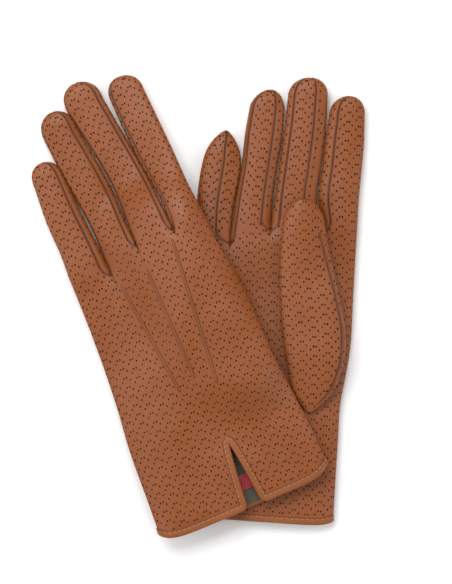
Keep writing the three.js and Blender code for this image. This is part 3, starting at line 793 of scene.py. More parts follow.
NAPPA = make_leather_group()
TAN = leather("tan nappa", (132, 66, 13), sheen=0.05)
BINDING_TAN = leather("binding nappa", (136, 71, 18), grain=0.8, sheen=0.05)
RAW = make_material("cut edge", make_raw_edge)
KNIT = make_material("knitted lining", make_knit)
SATIN = make_material("label satin", make_satin)
THREAD = make_material("thread", make_thread)

# ---------------------------------------------------------------- perforations


def geometry_tree(name, inputs):
    tree = bpy.data.node_groups.new(name, "GeometryNodeTree")
    tree.interface.new_socket("Geometry", in_out="INPUT", socket_type="NodeSocketGeometry")
    for socket, kind in inputs:
        tree.interface.new_socket(socket, in_out="INPUT", socket_type=kind)
    tree.interface.new_socket("Geometry", in_out="OUTPUT", socket_type="NodeSocketGeometry")
    return tree, Nodes(tree), tree.nodes.new("NodeGroupInput"), tree.nodes.new("NodeGroupOutput")


def make_perforation_tree():
    """Punches arches of four slits through a leather shell, laid out on its flat pattern."""
    tree, n, inside, outside = geometry_tree("perforations", [
        ("Column", "NodeSocketFloat"), ("Row", "NodeSocketFloat"), ("Set Along", "NodeSocketFloat"),
        ("Slit Width", "NodeSocketFloat"), ("Slit Length", "NodeSocketFloat"), ("Margin", "NodeSocketFloat"),
        ("First Column", "NodeSocketInt"), ("Columns", "NodeSocketInt"), ("Rows", "NodeSocketInt"),
        ("Seed", "NodeSocketInt"), ("Cut Edge", "NodeSocketMaterial")])
    got = inside.outputs
    shell = got["Geometry"]
    per_column = n.math("MULTIPLY", got["Rows"], 4.0)
    count = n.math("MULTIPLY", got["Columns"], per_column)
    cloud = n.add("GeometryNodePoints", {"Count": count}).outputs[0]
    index = n.add("GeometryNodeInputIndex").outputs[0]
    column = n.math("FLOOR", n.math("DIVIDE", n.math("ADD", index, 0.5), per_column))
    within = n.math("SUBTRACT", index, n.math("MULTIPLY", column, per_column))
    row = n.math("FLOOR", n.math("DIVIDE", n.math("ADD", within, 0.5), 4.0))
    slit = n.math("SUBTRACT", n.math("SUBTRACT", within, n.math("MULTIPLY", row, 4.0)), 1.5)
    real_column = n.math("ADD", column, got["First Column"])
    odd = n.math("MODULO", n.math("ADD", real_column, 1000.0), 2.0)
    u = n.math("ADD", n.math("MULTIPLY", real_column, got["Column"]),
               n.math("MULTIPLY", slit, 0.00153))
    v = n.math("ADD", n.math("MULTIPLY", row, got["Row"]), n.math("MULTIPLY", odd, got["Set Along"]))
    v = n.math("SUBTRACT", v, n.math("MULTIPLY", n.math("SUBTRACT", n.math("ABSOLUTE", slit), 0.5), 0.00175))
    uv = n.add("ShaderNodeCombineXYZ", {"X": u, "Y": v}).outputs[0]
    beside = n.add("ShaderNodeCombineXYZ", {"X": u, "Y": n.math("ADD", v, 0.0004)}).outputs[0]

    def stored_value(name, kind):
        return n.add("GeometryNodeInputNamedAttribute", {"Name": name}, data_type=kind).outputs[0]

    pattern = stored_value("pattern", "FLOAT_VECTOR")

    def sample(value, kind, at):
        node = n.add("GeometryNodeSampleUVSurface", {"Mesh": shell, "Source UV Map": pattern, "Sample UV": at},
                     data_type=kind)
        n.tree.links.new(value, node.inputs["Value"])
        return node.outputs["Value"], node.outputs["Is Valid"]

    position = n.add("GeometryNodeInputPosition").outputs[0]
    normal = n.add("GeometryNodeInputNormal").outputs[0]
    plain = stored_value("plain", "FLOAT")
    here, valid = sample(position, "FLOAT_VECTOR", uv)
    ahead, valid_ahead = sample(position, "FLOAT_VECTOR", beside)
    facing, _ = sample(normal, "FLOAT_VECTOR", uv)
    clear, _ = sample(plain, "FLOAT", uv)
    along = n.add("ShaderNodeVectorMath", operation="SUBTRACT")
    n.tree.links.new(ahead, along.inputs[0])
    n.tree.links.new(here, along.inputs[1])
    upright = n.add("FunctionNodeAlignRotationToVector", {"Vector": facing}, axis="Z").outputs[0]
    turned_to = n.add("FunctionNodeAlignRotationToVector", {"Rotation": upright, "Vector": along.outputs[0]},
                      axis="Y", pivot_axis="Z").outputs[0]
    stored = cloud
    for name, value, kind in (("here", here, "FLOAT_VECTOR"), ("turned", turned_to, "QUATERNION")):
        node = n.add("GeometryNodeStoreNamedAttribute", {"Geometry": stored, "Name": name}, data_type=kind)
        n.tree.links.new(value, node.inputs["Value"])
        stored = node.outputs[0]
    roomy = n.add("FunctionNodeCompare", {0: clear, 1: got["Margin"]}, operation="GREATER_THAN").outputs[0]
    both = n.add("FunctionNodeBooleanMath", {0: valid, 1: valid_ahead}).outputs[0]
    good = n.add("FunctionNodeBooleanMath", {0: both, 1: roomy}).outputs[0]
    keep = n.add("FunctionNodeBooleanMath", {0: good}, operation="NOT").outputs[0]
    kept = n.add("GeometryNodeDeleteGeometry", {"Geometry": stored, "Selection": keep}).outputs[0]
    placed = stored_value("here", "FLOAT_VECTOR")
    moved = n.add("GeometryNodeSetPosition", {"Geometry": kept, "Position": placed}).outputs[0]
    punch = n.add("GeometryNodeMeshCylinder", {"Vertices": 6, "Radius": 1.0, "Depth": 0.0026})
    uneven = n.add("FunctionNodeRandomValue", {"Seed": got["Seed"]}, data_type="FLOAT")
    uneven.inputs[2].default_value, uneven.inputs[3].default_value = 0.86, 1.08
    swing = n.add("FunctionNodeRandomValue", {"Seed": n.math("ADD", got["Seed"], 7.0)}, data_type="FLOAT")
    swing.inputs[2].default_value, swing.inputs[3].default_value = -0.16, 0.16
    spin = n.add("FunctionNodeAxisAngleToRotation", {"Axis": (0, 0, 1), "Angle": swing.outputs[1]}).outputs[0]
    turned_attr = stored_value("turned", "QUATERNION")
    spun = n.add("FunctionNodeRotateRotation", {"Rotation": turned_attr, "Rotate By": spin},
                 rotation_space="LOCAL").outputs[0]
    scale = n.add("ShaderNodeCombineXYZ", {
        "X": n.math("MULTIPLY", n.math("MULTIPLY", got["Slit Width"], 0.5), uneven.outputs[1]),
        "Y": n.math("MULTIPLY", n.math("MULTIPLY", got["Slit Length"], 0.5), uneven.outputs[1]),
        "Z": 1.0}).outputs[0]
    punches = n.add("GeometryNodeInstanceOnPoints", {"Points": moved, "Instance": punch.outputs[0],
                                                     "Rotation": spun, "Scale": scale}).outputs[0]
    real = n.add("GeometryNodeRealizeInstances", {"Geometry": punches}).outputs[0]
    lined = n.add("GeometryNodeSetMaterial", {"Geometry": real, "Material": got["Cut Edge"]}).outputs[0]
    cut = n.add("GeometryNodeMeshBoolean", operation="DIFFERENCE", solver="MANIFOLD")
    n.tree.links.new(shell, cut.inputs["Mesh 1"])
    n.tree.links.new(lined, cut.inputs["Mesh 2"])
    n.tree.links.new(cut.outputs["Mesh"], outside.inputs[0])
    return tree


def apply_nodes(piece, tree, values):
    """Runs a geometry tree with its named inputs and returns the plain mesh."""
    modifier = piece.modifiers.new(tree.name, "NODES")
    modifier.node_group = tree
    for item in tree.interface.items_tree:
        if item.in_out == "INPUT" and item.name in values:
            modifier[item.identifier] = values[item.name]
    piece.update_tag()
    bpy.context.view_layer.update()
    mesh = bpy.data.meshes.new_from_object(piece.evaluated_get(bpy.context.evaluated_depsgraph_get()))
    piece.modifiers.clear()
    return mesh


PERFORATE = make_perforation_tree()


def perforated(shell, first, columns, rows, seed):
    """The shell's mesh with the slits of the lattice punched through it."""
    return apply_nodes(shell, PERFORATE, {
        "Column": COLUMN * MM, "Row": ROW * MM, "Set Along": SET_ALONG * MM, "Slit Width": SLIT_WIDE * MM,
        "Slit Length": SLIT_LONG * MM, "Margin": SLIT_MARGIN, "First Column": first, "Columns": columns,
        "Rows": rows, "Seed": seed, "Cut Edge": RAW})


def read(mesh, attribute, width, kind="value", dtype=np.float32):
    data = mesh.attributes[attribute].data
    out = np.empty(len(data) * width, dtype)
    data.foreach_get(kind, out)
    return out.reshape(-1, width) if width > 1 else out


def slit_regions(mesh, ids):
    """Puts the walls of each slit, which have no number yet, in the region of the leather round it."""
    sizes = np.empty(len(mesh.polygons), np.int32)
    corner = np.empty(len(mesh.loops), np.int32)
    mesh.polygons.foreach_get("loop_total", sizes)
    mesh.loops.foreach_get("vertex_index", corner)
    walls = ids == 0
    on_wall = np.repeat(walls, sizes)
    at_vertex = np.zeros(len(mesh.vertices), int)
    np.maximum.at(at_vertex, corner[~on_wall], np.repeat(ids, sizes)[~on_wall])
    found = np.zeros(len(ids), int)
    np.maximum.at(found, np.repeat(np.arange(len(ids)), sizes)[on_wall], at_vertex[corner[on_wall]])
    return np.where(walls, found, ids) - 1


def part_of(mesh, name, chosen):
    """The chosen faces of a mesh as a new one, with their pattern, materials and seam values."""
    starts = np.empty(len(mesh.polygons), np.int32)
    sizes = np.empty(len(mesh.polygons), np.int32)
    slots = np.empty(len(mesh.polygons), np.int32)
    mesh.polygons.foreach_get("loop_start", starts)
    mesh.polygons.foreach_get("loop_total", sizes)
    mesh.polygons.foreach_get("material_index", slots)
    corner = np.empty(len(mesh.loops), np.int32)
    mesh.loops.foreach_get("vertex_index", corner)
    points = np.empty(len(mesh.vertices) * 3, np.float32)
    mesh.vertices.foreach_get("co", points)
    kept_loops = np.repeat(chosen, sizes)
    used, new_corner = np.unique(corner[kept_loops], return_inverse=True)
    out = bpy.data.meshes.new(name)
    out.vertices.add(len(used))
    out.vertices.foreach_set("co", points.reshape(-1, 3)[used].reshape(-1))
    out.loops.add(int(kept_loops.sum()))
    out.loops.foreach_set("vertex_index", new_corner.astype(np.int32).reshape(-1))
    new_sizes = sizes[chosen]
    out.polygons.add(len(new_sizes))
    out.polygons.foreach_set("loop_start", np.concatenate([[0], np.cumsum(new_sizes)[:-1]]).astype(np.int32))
    out.update(calc_edges=True)
    pattern = read(mesh, "pattern", 2, "vector")[kept_loops]
    out.uv_layers.new(name="pattern").data.foreach_set("uv", pattern.reshape(-1))
    out.attributes.new("seam", "FLOAT", "POINT").data.foreach_set("value", read(mesh, "seam", 1)[used])
    for material in mesh.materials:
        out.materials.append(material)
    out.polygons.foreach_set("material_index", slots[chosen])
    out.polygons.foreach_set("use_smooth", np.ones(len(new_sizes), bool))
    out.set_sharp_from_angle(angle=math.radians(42))
    out.update()
    return out


# ---------------------------------------------------------------- the leather shells


def turned_over(glove, corners):
    """The lower glove lies face down, which would leave its faces inside out. A triangle's doubled
    corner stays in the middle."""
    return corners[:, [3, 2, 1, 0]] if glove["palm"] > 0 else corners


def settle(glove, points):
    """Nothing sinks into the table."""
    points[:, 2] = np.maximum(points[:, 2], 0.00002)
    return points


def make_leather(glove):
    side = glove["side"]
    skin = make_skin(glove, GRID)
    normals = skin.normals(skin.points)
    outer = sewn(skin.points, normals, skin.seam)
    inner = skin.points - normals * LEATHER
    local, quads, uvs, region = walled(skin, outer, inner)
    points = settle(glove, to_row(glove, local))
    flipped = glove["palm"] > 0
    count = len(outer)
    seam = np.concatenate([skin.seam, np.full(count, 20.0)])
    crotches = [np.hypot(skin.points[:, 0] - x, skin.points[:, 1] - y) for x, y in glove["slits"]]
    unpunched = np.minimum(skin.plain, np.min(crotches, axis=0) - CROTCH_PLAIN)
    plain = np.concatenate([unpunched, np.full(count, -1.0)])
    ids = np.array([REGIONS.index(r) + 1 for r in region])
    mesh = to_mesh(f"{side} leather", points, turned_over(glove, quads), turned_over(glove, uvs),
                   {"seam": seam, "plain": plain}, {"region": ids}, [TAN])
    shell = to_piece(f"{side}_leather_blank", mesh)
    punched = perforated(shell, -9, 250, 49, 4 if flipped else 9)
    bpy.data.objects.remove(shell)
    ids = slit_regions(punched, read(punched, "region", 1, dtype=np.int32))
    pieces = {}
    for i, name in enumerate(REGIONS):
        full = f"{side}_{name}_leather" if i < 2 else f"{side}_{name}_stall_leather"
        pieces[name] = to_piece(full, part_of(punched, full, ids == i))
    bpy.data.meshes.remove(punched)
    return skin, normals, outer, pieces


def heights(points, quads):
    """A search tree of a surface in a glove's own frame."""
    faces = [tuple(q) if q[1] != q[2] else (q[0], q[1], q[3]) for q in quads.tolist()]
    return BVHTree.FromPolygons(points.tolist(), faces)


def on_surface(tree, x, y, above):
    """Where a line straight down, or up from below, first meets a surface, and its normal there."""
    start = Vector((x, y, 20.0 if above else -20.0))
    spot, normal, _, _ = tree.ray_cast(start, Vector((0, 0, -1.0 if above else 1.0)))
    return np.array(spot), np.array(normal)


def swept(path, inward, normal, profile, closed):
    """A closed tube of a fixed profile along a path. Profile points are (inward, outward)."""
    rows = []
    for a, b in profile:
        rows.append(path + inward * a + normal * b)
    points = np.stack(rows, 1)
    count, wide = points.shape[:2]
    index = np.arange(count * wide).reshape(count, wide)
    if closed:
        index = np.concatenate([index, index[:1]])
    around = np.concatenate([index, index[:, :1]], 1)
    quads = np.stack([around[:-1, :-1], around[:-1, 1:], around[1:, 1:], around[1:, :-1]], -1).reshape(-1, 4)
    return points.reshape(-1, 3), quads


def ridge_piece(glove, tree, number, start, end):
    """A raised decorative point on the back: a pinched line of leather, stitched down."""
    proud = 0.7 if glove["palm"] < 0 else 0.12
    length = math.dist(start, end)
    t = np.linspace(0, 1, int(length))
    (x0, y0), (x1, y1) = start, end
    spots, ups = zip(*[on_surface(tree, x0 + (x1 - x0) * k, y0 + (y1 - y0) * k, True) for k in t])
    path, up = np.array(spots), np.array(ups)
    along = np.gradient(path, axis=0)
    along /= np.linalg.norm(along, axis=1, keepdims=True)
    across = np.cross(along, up)
    shape = np.array([(-1.05, -0.3), (-0.95, 0.0), (-0.62, 0.62), (-0.25, 0.95), (0, 1.0), (0.25, 0.95),
                      (0.62, 0.62), (0.95, 0.0), (1.05, -0.3), (0.5, -0.42), (-0.5, -0.42)])
    fade = np.minimum(1, np.minimum(t, 1 - t) * length / 3.0) ** 0.5
    points = np.stack([path + across * (a * 0.85 * (0.5 + 0.5 * fade[:, None]))
                       + up * (np.where(b > 0, b * proud * fade, b * 0.9)[:, None]) for a, b in shape], 1)
    count, wide = points.shape[:2]
    index = np.arange(count * wide).reshape(count, wide)
    around = np.concatenate([index, index[:, :1]], 1)
    quads = np.stack([around[:-1, :-1], around[1:, :-1], around[1:, 1:], around[:-1, 1:]], -1).reshape(-1, 4)
    middle = [points[0].mean(0), points[-1].mean(0)]
    flat = points.reshape(-1, 3)
    ends = []
    for k, (ring_index, centre) in enumerate(((index[0], len(flat)), (index[-1], len(flat) + 1))):
        for a, b in zip(ring_index, np.roll(ring_index, -1)):
            pair = (a, b) if k == 0 else (b, a)
            ends.append((pair[0], pair[1], pair[1], centre))
    flat = np.concatenate([flat, middle])
    quads = np.concatenate([quads, np.array(ends)])
    # Painted shade: through the seam value the point is darkened down its sides and at its foot on the back, and left
    # lightest along its crest.
    seam = np.concatenate([np.tile(np.clip(1.15 - np.abs(shape[:, 0]) * 0.95, 0.15, 1.1), count), [0.3, 0.3]])
    uvs = np.stack([flat[quads][..., 0], flat[quads][..., 1]], -1)
    name = f"{glove['side']}_point_{number}_ridge"
    placed = settle(glove, to_row(glove, flat))
    mesh = to_mesh(name, placed, turned_over(glove, quads), turned_over(glove, uvs),
                   {"seam": seam}, materials=[BINDING_TAN])
    return to_piece(name, mesh)


def edge_loop(skin):
    """The open edge of a glove's leather, all round the hem and the vent, in order."""
    edges, _, _ = rim_edges(skin.quads)
    following = dict(edges.tolist())
    start = int(edges[0, 0])
    loop, here = [start], following[start]
    while here != start:
        loop.append(here)
        here = following[here]
    return np.array(loop)


def smoothed(values, times):
    for _ in range(times):
        values = (np.roll(values, 1, 0) + 2 * values + np.roll(values, -1, 0)) / 4
    return values


def evened(values, spacing):
    """Points of a closed loop at an even spacing."""
    ring = np.concatenate([values, values[:1]])
    run = np.concatenate([[0], np.cumsum(np.linalg.norm(np.diff(ring[:, :3], axis=0), axis=1))])
    at = np.linspace(0, run[-1], int(run[-1] / spacing), endpoint=False)
    return np.stack([np.interp(at, run, ring[:, k]) for k in range(ring.shape[1])], 1)


# The rolled binding's section: how far in from the hem, and how far out from the leather.
ROLL = [(3.1, -0.05), (3.2, 0.2), (2.8, 0.42), (1.9, 0.5), (0.9, 0.62), (0.1, 0.58), (-0.4, 0.25),
        (-0.6, -0.3), (-0.5, -0.85), (-0.1, -1.2), (0.9, -1.34), (2.4, -1.3), (3.0, -1.15), (3.0, -0.84), (1.2, -0.84),
        (0.06, -0.7), (0.06, -0.1), (1.2, 0.02)]


def binding_piece(glove, skin, normals):
    loop = edge_loop(skin)
    both = evened(np.concatenate([skin.points[loop], normals[loop]], 1), 1.0)
    path, up = both[:, :3], smoothed(both[:, 3:], 2)
    up /= np.linalg.norm(up, axis=1, keepdims=True)
    along = smoothed(np.roll(path, -1, 0) - np.roll(path, 1, 0), 2)
    inward = np.cross(up, along)
    inward /= np.linalg.norm(inward, axis=1, keepdims=True)
    wave = ripple(np.arange(len(path)) * 1.0, np.zeros(len(path)), 9.0, 4.0)[:, None]
    points, quads = swept(path, inward, up + inward * 0.05 * wave, ROLL, True)
    # Painted shade: stored as the seam value, this darkens the roll on both faces where it tucks against the leather.
    shade = np.array([min(abs(a - 3.1) + abs(b) * 0.5, 3.0) for a, b in ROLL])
    run = np.repeat(np.arange(len(path)) * 1.0, len(ROLL))
    uv = np.stack([np.tile(np.arange(len(ROLL)) * 0.6, len(path)), run], 1)[quads]
    name = f"{glove['side']}_cuff_roll"
    placed = settle(glove, to_row(glove, points))
    mesh = to_mesh(name, placed, turned_over(glove, quads), turned_over(glove, uv),
                   {"seam": np.tile(np.clip(shade, 0.35, 3), len(path))}, materials=[BINDING_TAN])
    line = path + inward * 2.35 + up * 0.46
    return to_piece(name, mesh), line, up


def make_stitch_tree():
    """Sews an even row of stitches along a line."""
    tree, n, inside, outside = geometry_tree("stitches", [
        ("Spacing", "NodeSocketFloat"), ("Length", "NodeSocketFloat"), ("Width", "NodeSocketFloat"),
        ("Seed", "NodeSocketInt"), ("Thread", "NodeSocketMaterial")])
    got = inside.outputs
    line = n.add("GeometryNodeMeshToCurve", {"Mesh": got["Geometry"]}).outputs[0]
    even = n.add("GeometryNodeResampleCurve", {"Curve": line, "Length": got["Spacing"]}, mode="LENGTH")
    tangent = n.add("GeometryNodeInputTangent").outputs[0]
    up = n.add("GeometryNodeInputNamedAttribute", {"Name": "up"}, data_type="FLOAT_VECTOR").outputs[0]
    first = n.add("FunctionNodeAlignRotationToVector", {"Vector": up}, axis="Z").outputs[0]
    lined_up = n.add("FunctionNodeAlignRotationToVector", {"Rotation": first, "Vector": tangent},
                     axis="X", pivot_axis="Z").outputs[0]
    bead = n.add("GeometryNodeMeshUVSphere", {"Segments": 8, "Rings": 5, "Radius": 0.5}).outputs[0]
    uneven = n.add("FunctionNodeRandomValue", {"Seed": got["Seed"]}, data_type="FLOAT")
    uneven.inputs[2].default_value, uneven.inputs[3].default_value = 0.88, 1.06
    scale = n.add("ShaderNodeCombineXYZ", {
        "X": n.math("MULTIPLY", got["Length"], uneven.outputs[1]),
        "Y": got["Width"], "Z": n.math("MULTIPLY", got["Width"], 0.8)}).outputs[0]
    beads = n.add("GeometryNodeInstanceOnPoints", {"Points": even.outputs[0], "Instance": bead,
                                                   "Rotation": lined_up, "Scale": scale}).outputs[0]
    real = n.add("GeometryNodeRealizeInstances", {"Geometry": beads}).outputs[0]
    soft = n.add("GeometryNodeSetShadeSmooth", {"Geometry": real}).outputs[0]
    sewn_on = n.add("GeometryNodeSetMaterial", {"Geometry": soft, "Material": got["Thread"]}).outputs[0]
    tree.links.new(sewn_on, outside.inputs[0])
    return tree


STITCH = make_stitch_tree()


def stitch_piece(glove, name, line, up, closed, spacing=2.7, length=2.1, width=0.5):
    """A row of stitches along a line in the glove's own frame."""
    points = settle(glove, to_row(glove, line))
    tips = to_row(glove, line + up * 0.5)
    mesh = bpy.data.meshes.new(name)
    edges = [(i, i + 1) for i in range(len(line) - 1)] + ([(len(line) - 1, 0)] if closed else [])
    mesh.from_pydata(points.tolist(), edges, [])
    mesh.attributes.new("up", "FLOAT_VECTOR", "POINT").data.foreach_set(
        "vector", (tips - points).astype(np.float32).reshape(-1))
    blank = to_piece(name + "_line", mesh)
    sewn_row = apply_nodes(blank, STITCH, {
        "Spacing": spacing * MM, "Length": length * MM, "Width": width * MM, "Seed": 3, "Thread": THREAD})
    bpy.data.objects.remove(blank)
    sewn_row.name = name
    return to_piece(name, sewn_row)


def make_lining(glove):
    side = glove["side"]
    skin = make_skin(glove, 2.4, trim=1.0)
    normals = skin.normals(skin.points)
    outer = skin.points - normals * (LEATHER + LINING_GAP)
    inner = outer - normals * LINING
    local, quads, uvs, region = walled(skin, outer, inner)
    seam = np.concatenate([skin.seam, skin.seam])
    ids = np.array([max(REGIONS.index(r), 1) for r in region])
    mesh = to_mesh(f"{side} lining", settle(glove, to_row(glove, local)), turned_over(glove, quads),
                   turned_over(glove, uvs), {"seam": seam}, {"region": ids}, [KNIT])
    pieces = {}
    for i, name in enumerate(REGIONS[1:], 1):
        full = f"{side}_hand_jersey" if i == 1 else f"{side}_{name}_jersey"
        pieces[name] = to_piece(full, part_of(mesh, full, ids == i))
    return pieces, heights(inner, skin.quads)


def label_piece(glove, tree):
    """A plain woven label sewn to the lining inside the palm."""
    us, vs = np.linspace(-7.5, 7.5, 16), np.linspace(-4, 4, 9)
    top = np.array([[on_inside(tree, 6 + u, 13 + v) + [0, 0, 0.5] for u in us] for v in vs])
    low = top - [0, 0, 0.38]
    grid = np.stack([top, low])
    points = grid.reshape(-1, 3)
    index = np.arange(len(points)).reshape(grid.shape[:3])
    upper, lower = index
    quads = [np.stack([upper[:-1, :-1], upper[:-1, 1:], upper[1:, 1:], upper[1:, :-1]], -1).reshape(-1, 4),
             np.stack([lower[:-1, :-1], lower[1:, :-1], lower[1:, 1:], lower[:-1, 1:]], -1).reshape(-1, 4)]
    border_up = np.concatenate([upper[0], upper[1:, -1], upper[-1, -2::-1], upper[-2:0:-1, 0]])
    border_low = np.concatenate([lower[0], lower[1:, -1], lower[-1, -2::-1], lower[-2:0:-1, 0]])
    quads.append(np.stack([border_up, border_low, np.roll(border_low, -1), np.roll(border_up, -1)], 1))
    quads = np.concatenate(quads)
    name = f"{glove['side']}_woven_label"
    uvs = points[quads][..., :2]
    mesh = to_mesh(name, to_row(glove, points), turned_over(glove, quads), turned_over(glove, uvs),
                   materials=[SATIN])
    mesh.polygons.foreach_set("use_smooth", np.zeros(len(mesh.polygons), bool))
    edge = np.array([[u, -3.5] for u in np.linspace(-7, 7, 15)]
                    + [[7, v] for v in np.linspace(-2.6, 3.4, 7)]
                    + [[u, 3.5] for u in np.linspace(6, -7, 14)]
                    + [[-7, v] for v in np.linspace(2.6, -2.6, 6)])
    line = np.array([on_inside(tree, 6 + u, 13 + v) + [0, 0, 0.52] for u, v in edge])
    return to_piece(name, mesh), line


def on_inside(tree, x, y):
    """The lining's inner face on the palm side."""
    spot, _, _, _ = tree.ray_cast(Vector((x, y, 0.0)), Vector((0, 0, -1.0)))
    return np.array(spot)


# ---------------------------------------------------------------- the thumb


def make_thumb(glove, step):
    """The thumb lies folded on the palm: a closed leaf, sewn to the palm down its outer side."""
    rows = np.concatenate([np.arange(0.6, 99, step), 98 + 15 * np.sin(np.linspace(0, math.pi / 2, 13)[1:])])
    theta = round_columns(0, 2 * math.pi, 15.0, THUMB_HIGH, [math.radians(33)] if step < 2 else [], step)
    centre, half = thumb_at(glove, rows)
    half = np.maximum(half, 0.02)
    full = THUMB_HIGH * smooth(rows, -17, 34)
    thick = np.minimum(full, half)
    x_unit, s_unit = oval(theta, 1.0, 1.0)
    x_unit[[0, -1]], s_unit[[0, -1]] = 1.0, 0.0
    x = centre[:, None] + half[:, None] * x_unit
    y = np.broadcast_to(glove["thumb"][1] + rows[:, None], x.shape)
    z = -(HAND_HIGH + THUMB_CLEAR + thick)[:, None] - thick[:, None] * s_unit
    from_right = centre[:, None] + half[:, None] - x
    on_outer = s_unit[None, :] > 0
    line = np.where(on_outer, np.abs(from_right - 2.0 - 1.5 * smooth(rows, 60, 95)[:, None]), FAR)
    seam = np.where((rows < 96)[:, None] & (rows > 4)[:, None], line, FAR)
    soft = ripple(x, y, 30, 5.0) * 0.3 * smooth(rows, 8, 30)[:, None] * np.clip(s_unit, 0, 1)
    z = z - soft
    points = np.stack([x, y, z], -1)
    points[-1] = points[-1].mean(0)
    skin = Skin()
    run = section_run(theta, 15.0, THUMB_HIGH)
    quarter = section_run(math.pi / 2, 15.0, THUMB_HIGH)
    uv = np.zeros(x.shape + (2,))
    spread = np.clip(half / 15.0, 0.2, 1.2)[:, None]
    uv[..., 0] = -(run - quarter)[None, :] * spread
    uv[..., 1] = rows[:, None]
    skin.add(points, seam, seam, uv, "thumb")
    end = np.array([[points[0].mean(0)] * len(theta), points[0]])
    skin.add(end, np.full(end.shape[:2], FAR), np.full(end.shape[:2], 0.0), np.stack([uv[0] - [0, 3], uv[0]]),
             "thumb")
    return skin.weld()


def thumb_pieces(glove):
    side = glove["side"]
    made = []
    for name, step, inset, wall, material in (("thumb_stall_leather", GRID, 0.0, LEATHER, TAN),
                                              ("thumb_jersey", 2.4, LEATHER + LINING_GAP, LINING, KNIT)):
        skin = make_thumb(glove, step)
        normals = -skin.normals(skin.points)
        skin.quads, skin.uvs = skin.quads[:, [3, 2, 1, 0]], skin.uvs[:, [3, 2, 1, 0]]
        outer = sewn(skin.points, normals, skin.seam) if inset == 0 else skin.points - normals * inset
        inner = skin.points - normals * (inset + wall)
        local, quads, uvs, region = walled(skin, outer, inner)
        count = len(outer)
        seam = np.concatenate([skin.seam, np.full(count, 20.0)])
        plain = np.concatenate([skin.plain, np.full(count, -1.0)])
        full = f"{side}_{name}"
        placed = settle(glove, to_row(glove, local))
        mesh = to_mesh(full, placed, turned_over(glove, quads), turned_over(glove, uvs),
                       {"seam": seam, "plain": plain}, {"region": np.zeros(len(quads), int)}, [material])
        piece = to_piece(full + "_blank", mesh)
        if inset == 0:
            mesh = perforated(piece, -5, 10, 24, 21)
        bpy.data.objects.remove(piece)
        made.append(to_piece(full, part_of(mesh, full, np.ones(len(mesh.polygons), bool))))
    return made


def row_point(glove, x, y, z=0.0):
    return Vector(to_row(glove, np.array([[x, y, z]]))[0])


def join_finger(glove, i, piece):
    """Bakes a finger piece's placement into its mesh; the direction from its middle joint to its tip is worked out and
    not used.
    """
    (x, y), tip = glove["fingers"][i][1], glove["fingers"][i][3]
    along = row_point(glove, *tip) - row_point(glove, x, y)
    along.z = 0
    along.normalize()
    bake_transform(piece)


def join_thumb(glove, piece):
    hand = row_point(glove, glove["thumb"][0] + 3, glove["thumb"][1] + 1)
    away = row_point(glove, glove["thumb"][0] - 14, glove["thumb"][1] + 18)
    away.z = hand.z
    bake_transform(piece)


def make_glove(glove):
    side = glove["side"]
    hand = f"{side}_hand"
    skin, normals, outer, leather_pieces = make_leather(glove)
    tree = heights(outer, skin.quads)
    for name, piece in leather_pieces.items():
        if name in ("back", "palm"):
            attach(piece, hand)
            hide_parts(f"{side}_{name}_panel")
    forks = [f"{side}_{name}_fork" for name in ("little_ring", "ring_middle", "middle_index")]
    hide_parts(*forks)
    strips = {"little": ["little_fourchette"], "ring": ["ring_outer_fourchette", "ring_inner_fourchette"],
              "middle": ["middle_outer_fourchette", "middle_inner_fourchette"], "index": ["index_fourchette"]}
    linings, inside_tree = make_lining(glove)
    for i, (name, *_) in enumerate(glove["fingers"]):
        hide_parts(f"{side}_{name}_stall", *[f"{side}_{s}" for s in strips[name]])
        join_finger(glove, i, leather_pieces[name])
        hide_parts(f"{side}_{name}_lining")
        join_finger(glove, i, linings[name])
    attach(linings["palm"], hand)
    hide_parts(f"{side}_hand_lining")
    for number, (start, end) in enumerate(RIDGES, 1):
        ridge = ridge_piece(glove, tree, number, start, end)
        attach(ridge, hand)
        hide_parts(f"{side}_point_{number}")
    roll, line, up = binding_piece(glove, skin, normals)
    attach(roll, hand)
    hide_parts(f"{side}_cuff_binding")
    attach(stitch_piece(glove, f"{side}_cuff_stitches", line, up, True), hand)
    label, border = label_piece(glove, inside_tree)
    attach(label, hand)
    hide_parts(f"{side}_label")
    upward = np.tile([0, 0, 1.0], (len(border), 1))
    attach(stitch_piece(glove, f"{side}_label_stitches", border, upward, True,
                         spacing=1.5, length=1.1, width=0.3), hand)
    stall, jersey = thumb_pieces(glove)
    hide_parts(f"{side}_thumb_stall")
    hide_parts(f"{side}_thumb_lining")
    for piece in (stall, jersey):
        join_thumb(glove, piece)


for pair_glove in GLOVES:
    make_glove(pair_glove)

# ---------------------------------------------------------------- the studio


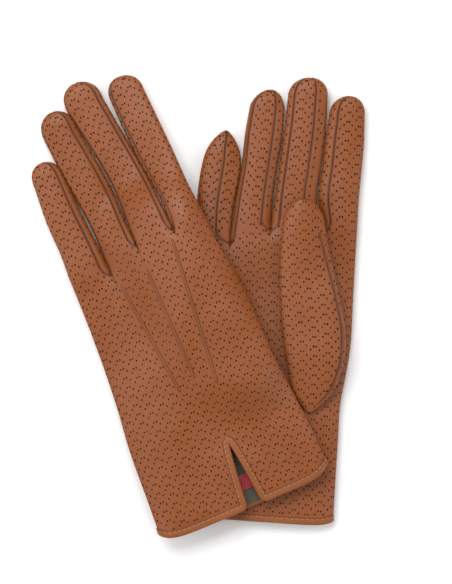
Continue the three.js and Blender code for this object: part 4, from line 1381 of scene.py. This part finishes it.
def make_floor(n, shader):
    place = n.add("ShaderNodeTexCoord").outputs["Object"]
    mottle = n.add("ShaderNodeTexNoise", {"Vector": place, "Scale": 3.0, "Detail": 2.0}).outputs["Fac"]
    colour = n.mix(n.ramp(mottle, 0.3, 0.7), (0.93, 0.93, 0.925, 1), (0.96, 0.96, 0.96, 1))
    n.tree.links.new(colour, shader.inputs["Base Color"])
    shader.inputs["Roughness"].default_value = 0.9
    shader.inputs["Specular IOR Level"].default_value = 0.1


floor_mesh = bpy.data.meshes.new("floor")
floor_mesh.from_pydata([(-3, -3, 0), (3, -3, 0), (3, 3, 0), (-3, 3, 0)], [], [(0, 1, 2, 3)])
floor_mesh.materials.append(make_material("paper floor", make_floor))
floor = to_piece("floor", floor_mesh)


def lamp(name, place, size, power, colour=(1, 1, 1)):
    light = bpy.data.lights.new(name, "AREA")
    light.shape = "RECTANGLE"
    light.size, light.size_y = size
    light.energy = power
    light.color = colour
    rig = bpy.data.objects.new(name, light)
    bpy.context.scene.collection.objects.link(rig)
    rig.location = place
    rig.rotation_euler = (-Vector(place)).to_track_quat("-Z", "Y").to_euler()


lamp("soft box above", (-0.35, 0.75, 1.3), (1.1, 0.8), 17.0)
lamp("soft box left", (-1.1, -0.1, 0.8), (0.8, 0.8), 5.0)
lamp("soft box right", (1.1, -0.2, 0.9), (0.8, 0.8), 4.0)

world = bpy.data.worlds.new("studio")
world.use_nodes = True
world.node_tree.nodes["Background"].inputs["Color"].default_value = (1, 1, 1, 1)
world.node_tree.nodes["Background"].inputs["Strength"].default_value = 0.55
scene = bpy.context.scene
scene.world = world
scene.view_settings.view_transform = "Standard"
scene.view_settings.look = "None"

VIEW_HIGH = 0.3095
AIM = Vector((0.01526, 0.00763, 0.008))
CAMERA_HEIGHT = 1.5
camera_data = bpy.data.cameras.new("camera")
camera_data.sensor_fit = "VERTICAL"
camera_data.sensor_height = 24.0
camera_data.lens = 24.0 * CAMERA_HEIGHT / VIEW_HIGH
camera = bpy.data.objects.new("camera", camera_data)
scene.collection.objects.link(camera)
camera.location = AIM + Vector((0, 0, CAMERA_HEIGHT))
scene.camera = camera
